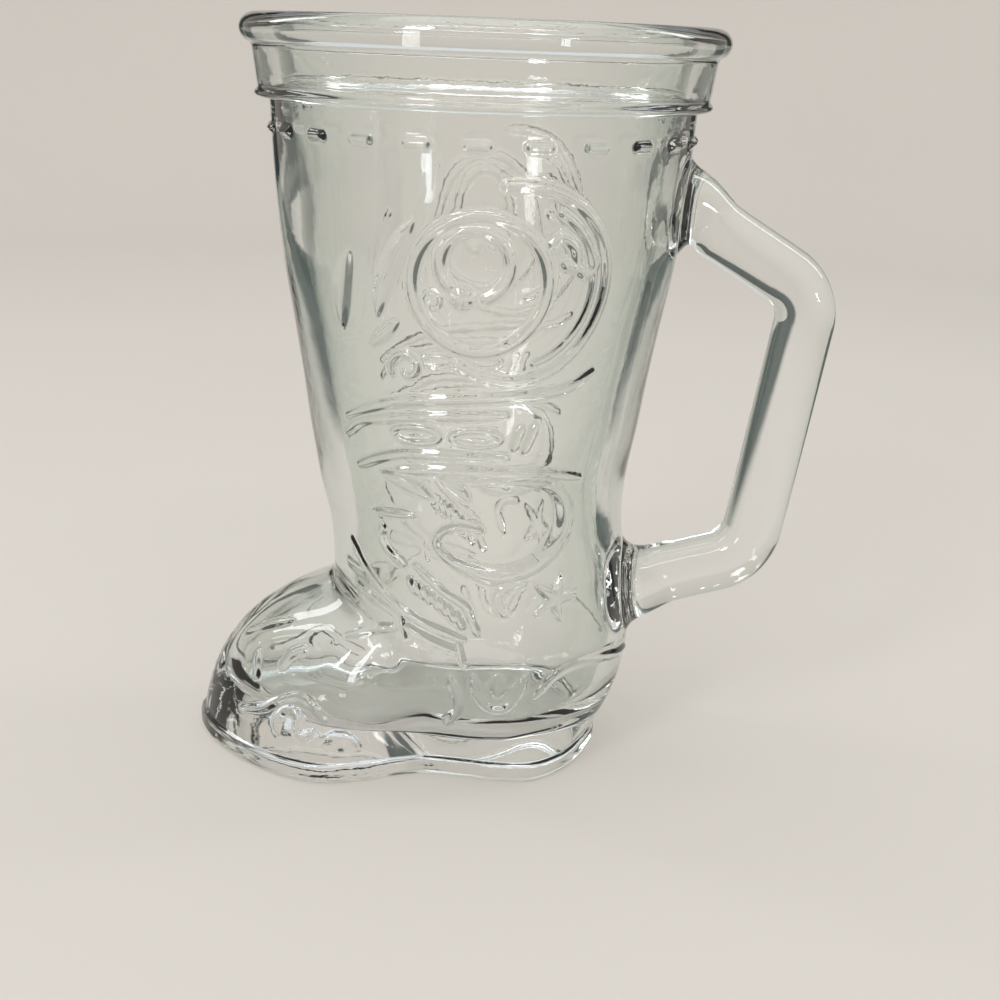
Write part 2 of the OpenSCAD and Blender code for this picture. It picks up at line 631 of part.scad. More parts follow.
// Spur strap: a flat band, the band of its buckle and a seam, as [degrees, share of the star's radius]
strap_shares = [[-20, 1.35], [-9, 0.75], [1, 0.05]];
buckle_shares = [[-15, -1.2], [-5, -1.6], [5, -1.75]];
seam_shares = [[-49, 2.5], [-38, 1.15], [-26, 0.1], [-16, -0.5]];
strap_out_share = 0.7;
buckle_width_share = 0.7;
function star_line(shares) =
    smooth_path([for (s = shares) [s[0], star_z + s[1] * star_r]], line_steps);
module spur_strap(right) {
    out = line_out * strap_out_share;
    color(relief_tint) on_side(right) {
        raised_line(star_line(strap_shares), half = strap_half, out = out);
        raised_line(star_line(buckle_shares), half = strap_half * buckle_width_share, out = out);
        raised_line(star_line(seam_shares));
    }
}
module spur_strap_left() { spur_strap(false); }
module spur_strap_right() { spur_strap(true); }

// Beads along the middle of the strap
bead_count = 6;
strap_bead_share = 0.36;
strap_bead_span = [-18, -1];
bead_rise_share = 1.5;
bead_sides = 8;
module strap_beads(right) {
    bead = strap_bead_share * strap_half;
    color(relief_tint) on_side(right)
        for (i = [0 : bead_count - 1]) {
            t = mix(strap_bead_span[0], strap_bead_span[1], i / (bead_count - 1));
            z = star_z + curve_at(strap_shares, t) * star_r;
            raised_pad(t, z, oval(bead, bead, bead_sides), out = pad_out * bead_rise_share);
        }
}
module strap_beads_left() { strap_beads(false); }
module strap_beads_right() { strap_beads(true); }

// Star of the spur with the yoke and the fork that hold it
star_t = 33;
star_tilt = 71;
yoke_shares = [[-1.35, 0.78], [-2.05, 0.68], [-2.45, 0.2], [-2.15, -0.5]];
fork_shares = [[-3, 0.4], [-2.8, -0.5], [-2.55, -0.95]];
module spur_star(right) {
    color(relief_tint) on_side(right) {
        raised_pad(star_t, star_z, star_outline(star_r, star_tilt));
        for (line = [yoke_shares, fork_shares])
            raised_line(smooth_path(places(star_t, star_z, star_r, line), line_steps));
    }
}
module spur_star_left() { spur_star(false); }
module spur_star_right() { spur_star(true); }

// Loop of the strap that runs under the foot, a drop inside it and a line in front of it
loop_t = 13;
loop_shares = [[-1, 0.55], [-0.8, -0.3], [-0.35, -0.85], [0.35, -0.92], [0.85, -0.2], [1.1, 0.55]];
loop_front_shares = [[-1.95, 0.4], [-1.6, -0.8], [-2.1, -1.75]];
drop_shares = [0.15, 0.42, 0.55];
module strap_loop(right) {
    middle_z = (star_z + sole_h) / 2;
    drop = oval(drop_shares[1] * star_r, drop_shares[2] * star_r, round_sides);
    color(relief_tint) on_side(right) {
        for (line = [loop_shares, loop_front_shares])
            raised_line(smooth_path(places(loop_t, middle_z, star_r, line), line_steps));
        raised_pad(loop_t, middle_z + drop_shares[0] * star_r, drop);
    }
}
module strap_loop_left() { strap_loop(false); }
module strap_loop_right() { strap_loop(true); }

// Line on the foot through places [degrees, share of the height of the heel's widest part]
function foot_line(shares) = smooth_path([for (s = shares) [s[0], s[1] * bulge_z]], line_steps);

// Folds over the instep
fold_shares = [[[-48, 1.55], [-37, 1.47], [-27, 1.4], [-28, 1.3], [-38, 1.23], [-48, 1.14]],
    [[-66, 1.9], [-57, 1.7], [-50, 1.66]]];
module ankle_folds(right) {
    color(relief_tint) on_side(right)
        for (line = fold_shares)
            raised_line(foot_line(line));
}
module ankle_folds_left() { ankle_folds(false); }
module ankle_folds_right() { ankle_folds(true); }

// Seam of the heel counter
counter_shares = [[27, 0.8], [34, 0.96], [43, 1.02], [55, 1], [67, 0.94], [79, 0.9]];
module counter_line(right) {
    color(relief_tint) on_side(right)
        raised_line(foot_line(counter_shares));
}
module counter_line_left() { counter_line(false); }
module counter_line_right() { counter_line(true); }

// Scroll on the side of the toe: a wave over a curl
toe_scroll_t = -55;
toe_wave_shares = [[-3.1, -0.47], [-1.67, 0.03], [-0.83, 0.72], [0.21, 1.28], [0.94, 1.22],
    [1.56, 0.86], [2.19, 0.3]];
toe_curl_shares = [[-0.42, -0.94], [-0.48, -0.3], [-0.21, 0.38], [0.31, 0.5], [0.77, 0.1], [0.83, -0.5],
    [1.19, -0.85], [1.6, -0.5]];
module toe_scroll(right) {
    color(relief_tint) on_side(right)
        for (line = [toe_wave_shares, toe_curl_shares])
            raised_line(smooth_path(places(toe_scroll_t, toe_scroll_z, toe_scroll_r, line), line_steps));
}
module toe_scroll_left() { toe_scroll(false); }
module toe_scroll_right() { toe_scroll(true); }

// Creases over the vamp
crease_shares = [[[-81, 0.91], [-76, 1.03], [-70, 1.12]], [[-62, 0.83], [-61, 0.93], [-58, 0.99]],
    [[-68, 0.69], [-70, 0.77], [-72, 0.85]]];
module vamp_creases(right) {
    color(relief_tint) on_side(right)
        for (line = crease_shares)
            raised_line(foot_line(line));
}
module vamp_creases_left() { vamp_creases(false); }
module vamp_creases_right() { vamp_creases(true); }

rim_bead();
collar_band();
collar_ridge();
shaft();
vamp();
heel_counter();
sole();
handle_upper_arm();
handle_grip();
handle_lower_arm();
top_stitches();
medallion_left();
medallion_right();
petals_left();
petals_right();
belt_lines_left();
belt_lines_right();
belt_stitches_left();
belt_stitches_right();
leaf_spray_left();
leaf_spray_right();
large_scroll_left();
large_scroll_right();
spur_strap_left();
spur_strap_right();
strap_beads_left();
strap_beads_right();
spur_star_left();
spur_star_right();
strap_loop_left();
strap_loop_right();
ankle_folds_left();
ankle_folds_right();
counter_line_left();
counter_line_right();
toe_scroll_left();
toe_scroll_right();
vamp_creases_left();
vamp_creases_right();
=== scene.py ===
"""Looks of a clear pressed-glass drinking boot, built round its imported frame.

The glass is one casting, so it is shaped as one closed skin (turned wall, foot, bore and handle
with the ornament pressed into it) and then divided into the pieces that a glassmaker names. Where
two pieces meet, the joint faces take a see-through finish, because the real glass has no surface
there. Sizes are in millimetres until the skin is finished, and in metres from then on. Angles are
in degrees from the toe, and an inset is a distance inside the outer wall.
"""

import logging
import math
from collections.abc import Iterable, Sequence
from dataclasses import dataclass, field
from enum import Enum
from typing import Any, ClassVar

import bmesh
import bpy
import numpy as np
from mathutils import Matrix, Vector


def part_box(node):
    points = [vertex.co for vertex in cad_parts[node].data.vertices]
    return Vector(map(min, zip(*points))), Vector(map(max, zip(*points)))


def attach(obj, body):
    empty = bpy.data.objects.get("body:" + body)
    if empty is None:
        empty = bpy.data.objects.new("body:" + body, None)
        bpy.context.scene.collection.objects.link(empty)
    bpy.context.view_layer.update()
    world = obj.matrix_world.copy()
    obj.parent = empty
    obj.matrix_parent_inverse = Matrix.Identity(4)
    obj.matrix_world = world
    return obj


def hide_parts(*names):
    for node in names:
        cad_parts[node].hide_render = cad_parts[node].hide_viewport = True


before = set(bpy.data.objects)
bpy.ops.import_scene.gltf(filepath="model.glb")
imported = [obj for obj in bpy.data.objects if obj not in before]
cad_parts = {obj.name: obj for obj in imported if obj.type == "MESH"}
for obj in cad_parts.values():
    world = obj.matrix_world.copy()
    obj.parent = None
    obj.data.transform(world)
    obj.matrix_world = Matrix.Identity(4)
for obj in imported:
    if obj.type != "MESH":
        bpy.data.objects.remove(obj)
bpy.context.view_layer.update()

MM = 0.001
LOG = logging.getLogger("boot_glass")
Table = Sequence[tuple[float, ...]]
Tone = tuple[float, float, float]
Place = tuple[float, float, float]

# The shaft's outer line, as shares of the way up and of the way out.
SHAFT_LINE = ((0, 0), (0.08, 0.1), (0.18, 0.23), (0.3, 0.36), (0.445, 0.54), (0.615, 0.76),
              (0.81, 0.91), (1, 1))
# The wall at each of those places, as a share of the way from the ankle's to the top's.
WALL_SHARES = (0, 0.1, 0.2, 0.3, 0.4, 0.5, 0.5, 1)
# The sole's outline from the toe's tip to the heel, as shares of the reach and the half width.
TOE_PLAN = ((1, 0), (0.952, 0.293), (0.873, 0.519), (0.753, 0.754), (0.619, 0.923), (0.481, 1),
            (0.349, 0.942), (0.241, 0.852))
WAIST_PLAN = ((0.129, 1), (0, 1.036))
SEAT_PLAN = ((0.28, 1), (0.507, 0.984), (0.7, 0.826), (0.89, 0.484), (1, 0))
# How the column changes from the heel's bulge (0) to the ankle (1).
BACK_LINE = ((0, 0), (0.44, 0.45), (0.75, 0.9), (1, 1))
FLANK_LINE = ((0, 0), (0.44, 0), (0.75, 0.22), (1, 1))
FRONT_LINE = ((0, 0), (0.44, 0), (0.75, 0.28), (1, 1))
# Angles at which the foot's wall is measured to share out its rows, and the places on each.
PROBE_ANGLES = (0.0, 15.0, 30.0, 45.0, 60.0, 90.0, 135.0, 180.0)
PROBE_COUNT = 2400
# Rows of the underside and the ledge, as shares of the radius and of the ledge.
UNDERSIDE_SHARES = (0, 0.25, 0.5, 0.75, 0.9, 0.97, 1)
LEDGE_SHARES = (0.3, 0.7, 0.92)
FLOOR_SHARES = (0.9, 0.75, 0.5, 0.25, 0)
# Small fillets over the ridge and under the bead, as rows (up, out).
RIDGE_FILLET = ((-0.12, 0.22), (0.12, 0.07), (0.45, 0.02))
BEAD_FILLET = ((-0.35, 0.02), (-0.02, 0.14))
# Distances of the handle's first rings from the wall.
ROOT_RINGS = (0.15, 0.35, 0.6, 0.9, 1.3, 1.8, 2.4, 3.1, 4.0, 5.0, 6.1, 7.3, 8.5)

# Ornament of the left side. A line's table gives degrees from the middle of the side towards the
# heel, and heights. Where a figure has a size, heights count in it, and so do the lengths along
# the wall that stand for the degrees of a figure with a place of its own.
# An arc: place along and up, first and last radius, first and last angle, half width or 0.
MEDALLION_ARCS = ((0.42, 0, 1, 1, -125, 98, 0), (0.42, 0, 0.84, 0.84, -72, 60, 1.0),
                  (0.06, 0, 0.69, 0.69, 0, 360, 0), (0, 0.21, 0.36, 0.34, -68, 220, 0))
TENDRIL = ((-0.675, -0.9, 0.19, 0.07, 200, -110, 0.8),)
MEDALLION_CURL = ((0.74, 0.42), (0.86, 0.5), (1.01, 0.38), (1.05, 0.21), (1.15, 0.12),
                  (1.25, 0.2), (1.2, 0.31))
MEDALLION_SPRIG = ((0.9, 0.23), (1.13, 0.15))
# A leaf: degrees, height, half length and half width, tilt in degrees, bend in millimetres.
PETALS = ((-37.5, -0.16, 0.42, 0.13, 76, 0.8), (-21.5, 0.11, 0.54, 0.13, 66, 1.0),
          (-25.5, -0.56, 0.22, 0.08, 40, 0))
LEAVES = ((-21, 0.875, 0.6, 0.19, -20, 0.7), (-4.5, 0.9, 0.37, 0.15, -37, 0.5),
          (-27, 0.23, 0.5, 0.1, 3, 0))
LOOP_PAD = ((13, 0.15, 0.5, 0.36, 90, 0),)
LEAF_STEM = ((-31.5, -0.8), (-33, -3.6), (-30, -6.3), (-24, -8.4))
BELT_LINES = (
    ((-43, 1.3), (-27, 5.3), (-14, 7.0), (7, 8.1), (22, 8.8), (31, 9.9), (38, 12.5)),
    ((-44, -2.2), (-36, 1.1), (-25, 2.6), (-10, 4.0), (11, 4.8)),
    ((-40, -8.4), (-27, -5.1), (-15, -3.8), (12, -3.8)),
    ((-24, -7.7), (-3, -6.6), (24, -7.5), (40, -9.2)),
    ((14, -2.0), (16, 2.2)),
    ((17.5, -2.6), (20.5, 2.4)),
)
# The large scroll's ribbon, with its half width at each place.
RIBBON = (
    (-1.64, 1.2, 0.7), (-1.1, 1.17, 1.0), (-0.6, 1.13, 1.1), (0.0, 1.07, 1.25),
    (0.45, 0.92, 1.6), (0.74, 0.6, 2.5), (0.85, 0.22, 3.1), (0.8, -0.12, 3.1),
    (0.52, -0.5, 2.8), (0.05, -0.82, 2.5), (-0.6, -0.95, 2.5), (-1.15, -0.8, 1.9),
    (-1.6, -0.58, 1.3), (-1.84, -0.28, 1.0), (-1.68, 0.0, 0.95), (-1.35, 0.11, 0.95),
    (-0.95, 0.05, 0.9),
)
STRAP_EDGE = ((-19, 1.35), (-8.2, 0.39), (0.1, -0.18), (2.8, -0.85), (5.1, -1.35))
ROPE = ((-21, 0.5), (-10, -0.1), (-1, -0.85))
INSTEP_LINE = ((-51, 1.7), (-43, 0.65), (-30, -0.38), (-17, -1.05), (0, -1.62))
ANKLE_LINE = ((-56, 2.95), (-50, 2.5), (-44, 2.1))
BUCKLE = ((-24, -1.35), (-12, -1.85), (-1, -2.2))
# The strap's lines: places, size of the heights in star radii or 0 for millimetres, half width
# and rise.
SPUR_LINES = (
    (STRAP_EDGE, 1, 1.2, 0.8), (ROPE, 1, 2.2, 0.5), (INSTEP_LINE, 1, 1.4, 0.5),
    (BUCKLE, 1, 1.5, 0.5), (ANKLE_LINE, 0, 1.5, 0.35),
)
YOKE = ((-1.35, 0.78), (-2.05, 0.68), (-2.45, 0.2), (-2.15, -0.5))
LOOP_LINES = (
    ((-1, 0.55), (-0.8, -0.3), (-0.35, -0.85), (0.35, -0.92), (0.85, -0.2), (1.1, 0.55)),
    ((-1.95, 0.4), (-1.6, -0.8), (-2.1, -1.75)),
)
FOOT_LINES = (
    ((-48, 1.55), (-37, 1.47), (-27, 1.4), (-28, 1.3), (-38, 1.23), (-48, 1.14)),
    ((27, 0.8), (34, 0.96), (43, 1.02), (55, 1.0), (67, 0.94), (79, 0.9)),
    ((-81, 0.91), (-76, 1.03), (-70, 1.12)),
    ((-62, 0.83), (-61, 0.93), (-58, 0.99)),
    ((-68, 0.69), (-70, 0.77), (-72, 0.85)),
)
TOE_LINES = (
    ((-3.1, -0.47), (-1.67, 0.03), (-0.83, 0.72), (0.21, 1.28), (0.94, 1.22), (1.56, 0.86),
     (2.19, 0.3)),
    ((-0.42, -0.94), (-0.48, -0.3), (-0.21, 0.38), (0.31, 0.5), (0.77, 0.1), (0.83, -0.5),
     (1.19, -0.85), (1.6, -0.5)),
)


class Region(Enum):
    """Piece of the casting that a face belongs to."""

    SOLE = 1
    FOOT = 2
    SHAFT = 3
    RIM = 4
    HANDLE = 5


class Surface(Enum):
    """Rule that places one row of the turned skin."""

    UNDERSIDE = "underside"
    SOLE_EDGE = "sole edge"
    LEDGE = "ledge"
    UPPER = "upper"
    TURNED = "turned"
    BORE = "bore"
    CAVITY = "cavity"
    FLOOR = "floor"


class Wall(Enum):
    """What a vertex of the skin lies on."""

    OTHER = 0
    OUTER = 1
    ROOT_EDGE = 2


@dataclass(frozen=True)
class Station:
    """One row of the skin, running round the shaft axis.

    Attributes:
        surface: Rule that places the row.
        z: Height of the row.
        value: Radius, inset or share of a radius, as the rule needs it.
        region: Piece that the band above this row belongs to.
    """

    surface: Surface
    z: float
    value: float
    region: Region


def node_box(node: str) -> tuple[Vector, Vector]:
    """Return the lowest and highest corner of a frame node in millimetres."""
    low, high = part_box(node)
    return low / MM, high / MM


def middle_z(node: str) -> float:
    """Return the height of the middle of a frame node in millimetres."""
    low, high = node_box(node)
    return (low.z + high.z) / 2


def curve(table: Table, x: np.ndarray) -> np.ndarray:
    """Read a smooth curve through the stations of a table.

    Args:
        table: Stations as (x, value), with x rising.
        x: Places at which the curve is read.

    Returns:
        The value at each place, held level beyond the ends.
    """
    xs, ys = np.array(table, float).T
    low = np.maximum(np.arange(len(xs)) - 1, 0)
    high = np.minimum(np.arange(len(xs)) + 1, len(xs) - 1)
    slopes = (ys[high] - ys[low]) / (xs[high] - xs[low])
    i = np.clip(np.searchsorted(xs, x, side="right") - 1, 0, len(xs) - 2)
    step = xs[i + 1] - xs[i]
    u = np.clip((x - xs[i]) / step, 0, 1)
    v = 1 - u
    return (
        (1 + 2 * u) * v * v * ys[i]
        + u * v * v * step * slopes[i]
        + u * u * (3 - 2 * u) * ys[i + 1]
        - u * u * v * step * slopes[i + 1]
    )


def through(points: Table, steps: np.ndarray) -> list[np.ndarray]:
    """Return each column of a table along a smooth path through its rows."""
    columns = zip(*points)
    return [curve(list(enumerate(column)), steps) for column in columns]


def mix(a: np.ndarray, b: np.ndarray, share: np.ndarray) -> np.ndarray:
    """Return the value a given share of the way from a to b."""
    return a + (b - a) * share


def smooth_step(x: np.ndarray) -> np.ndarray:
    """Return a soft step from 0 at x = 0 to 1 at x = 1."""
    x = np.clip(x, 0, 1)
    return x * x * (3 - 2 * x)


def turned(start: float, stop: float, count: int) -> list[tuple[float, float]]:
    """Return the sine and cosine at even steps from one angle to another."""
    return [(math.sin(a), math.cos(a)) for a in np.radians(np.linspace(start, stop, count))]


def draw_profile(bm: bmesh.types.BMesh, points: Sequence[Place]) -> list[bmesh.types.BMVert]:
    """Add a chain of edges to a mesh.

    Args:
        bm: The mesh.
        points: Places of the chain's vertices.

    Returns:
        The new vertices in order.
    """
    verts = [bm.verts.new(point) for point in points]
    for pair in zip(verts, verts[1:]):
        bm.edges.new(pair)
    return verts


def spin(bm: bmesh.types.BMesh, steps: int, near: float) -> None:
    """Spin a mesh's profile once round the upright axis and join what meets.

    Args:
        bm: The mesh, which holds the profile alone.
        steps: Number of turns.
        near: Distance within which vertices are joined.
    """
    bmesh.ops.spin(bm, geom=bm.verts[:] + bm.edges[:], cent=(0, 0, 0), axis=(0, 0, 1),
                   dvec=(0, 0, 0), angle=2 * math.pi, steps=steps, use_merge=True)
    if near:
        bmesh.ops.remove_doubles(bm, verts=bm.verts[:], dist=near)


def unique(items: Iterable[Any]) -> list[Any]:
    """Return the items without repeats, in the order in which they first come."""
    return list(dict.fromkeys(items))


def add_object(name: str, data: bpy.types.ID) -> bpy.types.Object:
    """Return a new object of the scene that shows a mesh, a lamp or a camera."""
    obj = bpy.data.objects.new(name, data)
    bpy.context.scene.collection.objects.link(obj)
    return obj


@dataclass
class BootForm:
    """Outer wall and bore of the boot, as radius against angle and height.

    The sizes without a value of their own come from the frame.
    """

    toe_reach: float
    heel_reach: float
    ball_half: float
    sole_h: float
    ankle_z: float
    shaft_top_z: float
    shaft_top_r: float
    collar_z: float
    collar_top_r: float
    bead_z: float
    rim_r: float
    glass_h: float
    ankle_r: float = 31.7
    waist_half: float = 23.8
    seat_half: float = 25.8
    welt_ledge: float = 0.8
    crown_h: float = 38.5
    bulge_z: float = 26.0
    bulge_r: float = 34.6
    flank_r: float = 30.8
    instep_r: float = 28.8
    ankle_wall: float = 6.0
    top_wall: float = 2.8
    foot_wall: float = 4.5
    floor_h: float = 8.5
    floor_round: float = 9.0
    bead_w: float = 6.2
    bead_draw: float = 0.5
    flare_power: float = 1.6
    dome_power: float = 0.33
    crease_round: float = 4.0
    flank_round: float = 9.0
    hollow_z: float = 24.0
    least_ledge: float = 0.7
    draw_soft: float = 0.15
    draw_h: float = 13.0
    ankle_ease: float = 6.0
    slope_step: float = 0.3
    shaft_line: Table = field(init=False)
    bore_line: Table = field(init=False)
    plan_line: Table = field(init=False)

    @classmethod
    def from_frame(cls) -> "BootForm":
        """Return the form with the sizes that the frame's nodes hold."""
        sole, shaft, collar, bead = map(node_box, ("sole", "shaft", "collar_band", "rim_bead"))
        return cls(
            -sole[0].x, sole[1].x, sole[1].y, sole[1].z, shaft[0].z, shaft[1].z, shaft[1].x,
            collar[0].z, collar[1].x, collar[1].z, bead[1].x, bead[1].z,
        )

    def __post_init__(self) -> None:
        """Work out the outline tables from the sizes."""
        self.shaft_line = [
            (mix(self.ankle_z, self.shaft_top_z, up), mix(self.ankle_r, self.shaft_top_r, out))
            for up, out in SHAFT_LINE
        ]
        walls = [mix(self.ankle_wall, self.top_wall, share) for share in WALL_SHARES]
        mouth_r = self.rim_r - self.bead_w
        self.bore_line = [(z, r - wall) for (z, r), wall in zip(self.shaft_line, walls)]
        self.bore_line += [
            (self.bead_z, mouth_r - self.bead_draw),
            ((self.bead_z + self.glass_h) / 2, mouth_r),
        ]
        plan = [(-u * self.toe_reach, v * self.ball_half) for u, v in TOE_PLAN]
        plan += [(-u * self.toe_reach, v * self.waist_half) for u, v in WAIST_PLAN]
        plan += [(u * self.heel_reach, v * self.seat_half) for u, v in SEAT_PLAN]
        half = [(math.degrees(math.atan2(y, -x)), math.hypot(x, y)) for x, y in plan]
        before, after = half[1], half[-2]
        self.plan_line = [(-before[0], before[1]), *half, (360 - after[0], after[1])]

    def shaft_r(self, z: np.ndarray) -> np.ndarray:
        """Return the outer radius of the shaft at a height."""
        return curve(self.shaft_line, z)

    def bore_r(self, z: np.ndarray) -> np.ndarray:
        """Return the radius of the round bore at a height."""
        return curve(self.bore_line, z)

    def plan_r(self, a: np.ndarray) -> np.ndarray:
        """Return the radius of the sole's outline at an angle."""
        return curve(self.plan_line, a)

    def column_r(self, a: np.ndarray, z: np.ndarray, inset: float) -> np.ndarray:
        """Return the radius of the ankle and heel column.

        Args:
            a: Angles.
            z: Heights.
            inset: Distance inside the outer wall.

        Returns:
            The radius at each place.
        """
        up = (z - self.bulge_z) / (self.ankle_z - self.bulge_z)
        back = mix(self.bulge_r, self.ankle_r, curve(BACK_LINE, up))
        flank = mix(self.flank_r, self.ankle_r, curve(FLANK_LINE, up))
        front = mix(self.instep_r, self.ankle_r, curve(FRONT_LINE, up))
        c = np.cos(np.radians(a))
        return flank + (front - back) / 2 * c + ((front + back) / 2 - flank) * c * c - inset

    def upper_r(self, a: np.ndarray, z: np.ndarray, inset: float) -> np.ndarray:
        """Return the radius of the upper before it is drawn in to the sole.

        Args:
            a: Angles.
            z: Heights.
            inset: Distance inside the outer wall.

        Returns:
            The radius at each place.
        """
        edge = self.plan_r(a) - self.welt_ledge - inset
        fall = np.maximum(1 - z / self.bulge_z, 0) ** self.flare_power
        gap = np.maximum(self.column_r(a, np.full_like(z, self.bulge_z), inset) - edge, 0)
        column = self.column_r(a, z, inset) - gap * fall
        rise = np.minimum(z / (self.crown_h - inset), 1)
        toe = edge * np.maximum(1 - rise * rise, 0) ** self.dome_power
        hollow = np.sin(np.radians(a)) ** 2 * smooth_step(z / self.hollow_z)
        soft = mix(self.crease_round, self.flank_round, hollow)
        near = np.maximum(soft - np.abs(toe - column), 0) / soft
        return np.maximum(toe, column) + near * near * soft / 4

    def foot_r(self, a: np.ndarray, z: np.ndarray, inset: float = 0.0) -> np.ndarray:
        """Return the radius of the foot's outer wall, or of its bore with an inset.

        Args:
            a: Angles.
            z: Heights.
            inset: Distance inside the outer wall.

        Returns:
            The radius at each place, drawn in above the sole where the upper would overhang it.
        """
        foot = self.upper_r(a, np.full_like(z, self.sole_h), 0.0)
        over = np.maximum(foot - self.plan_r(a) + self.least_ledge, 0)
        drawn = over * over / (over + self.draw_soft)
        fall = np.maximum(1 - (z - self.sole_h) / self.draw_h, 0) ** 2
        return self.upper_r(a, z, inset) - drawn * np.minimum(fall, 1)

    def cavity_r(self, a: np.ndarray, z: np.ndarray) -> np.ndarray:
        """Return the radius of the bore in the foot, rounded into the floor.

        Args:
            a: Angles.
            z: Heights.

        Returns:
            The radius at each place.
        """
        up = np.minimum((z - self.floor_h) / self.floor_round, 1)
        corner = self.floor_round * (1 - np.sqrt(np.maximum(1 - (1 - up) ** 2, 0)))
        share = np.clip((z - self.bulge_z) / (self.ankle_z - self.bulge_z), 0, 1)
        inset = mix(self.foot_wall, self.ankle_wall, share)
        return self.foot_r(a, z, inset) - corner

    def eased(self, a: np.ndarray, z: np.ndarray, inside: bool) -> np.ndarray:
        """Return what rounds off the bend where the foot runs into the shaft.

        Args:
            a: Angles.
            z: Heights.
            inside: True for the bore and False for the outer wall.

        Returns:
            The length to add to the radius.
        """
        above, below = (self.bore_r, self.cavity_r) if inside else (self.shaft_r, self.foot_r)
        middle = np.full_like(a, self.ankle_z)
        step = self.slope_step
        rise = (above(middle + step) - above(middle)) / step
        rise -= (below(a, middle) - below(a, middle - step)) / step
        near = np.maximum(self.ankle_ease - np.abs(z - self.ankle_z), 0)
        return rise * near * near / (4 * self.ankle_ease)

    def wall_r(self, a: np.ndarray, z: np.ndarray) -> np.ndarray:
        """Return the radius of the outer wall from the sole to the ridge.

        Args:
            a: Angles.
            z: Heights.

        Returns:
            The radius at each place.
        """
        shaft = self.shaft_r(np.maximum(z, self.ankle_z))
        foot = self.foot_r(a, np.minimum(z, self.ankle_z))
        return np.where(z >= self.ankle_z, shaft, foot) + self.eased(a, z, False)

    def on_wall(self, t: np.ndarray, z: np.ndarray) -> np.ndarray:
        """Return points of the left side's wall.

        Args:
            t: Degrees from the middle of the side towards the heel.
            z: Heights.

        Returns:
            A row for each point.
        """
        r, turn = self.wall_r(np.abs(90 + t), z), np.radians(t)
        return np.stack([r * np.sin(turn), -r * np.cos(turn), z], axis=-1)

    def mm_per_degree(self, t: float, z: float) -> float:
        """Return the length of one degree along the wall at a place of the left side."""
        return float(self.wall_r(np.array([90.0 + t]), np.array([z]))[0]) * math.pi / 180

    def rows(self, low: float, spacing: float, inside: bool) -> list[float]:
        """Share heights out so that the rows of the foot lie evenly along its wall.

        Args:
            low: Height of the first row.
            spacing: Widest distance between two rows, along the wall.
            inside: True for the bore and False for the outer wall.

        Returns:
            The heights from the lowest to the ankle's.
        """
        z = np.linspace(low, self.ankle_z, PROBE_COUNT)
        radius = self.cavity_r if inside else self.foot_r
        walls = [np.diff(radius(np.full_like(z, a), z)) for a in PROBE_ANGLES]
        steps = np.max([np.hypot(np.diff(z), wall) for wall in walls], axis=0)
        run = np.concatenate([[0], np.cumsum(steps)])
        count = max(int(math.ceil(run[-1] / spacing)), 2)
        return list(np.interp(np.linspace(0, run[-1], count + 1), run, z))


@dataclass
class Stroke:
    """Raised line of the ornament, rounded across and free to swell along its length.

    Attributes:
        path: Points on the left side's wall.
        halves: Half width at each point.
        rise: Height of its crest over the wall.
    """

    path: np.ndarray
    halves: np.ndarray
    rise: float

    def nearness(self, points: np.ndarray) -> np.ndarray:
        """Return how many half widths each point lies from the middle of the line.

        Args:
            points: Points folded onto the left side.

        Returns:
            The distance as a multiple of the half width there.
        """
        a = self.path[:-1]
        run = self.path[1:] - a
        length = np.maximum((run * run).sum(1), 1e-9)
        to_point = points[:, None, :] - a[None]
        u = np.clip((to_point * run[None]).sum(2) / length[None], 0, 1)
        gap = np.linalg.norm(to_point - u[..., None] * run[None], axis=2)
        half = self.halves[:-1][None] + u * np.diff(self.halves)[None]
        return (gap / half).min(1)


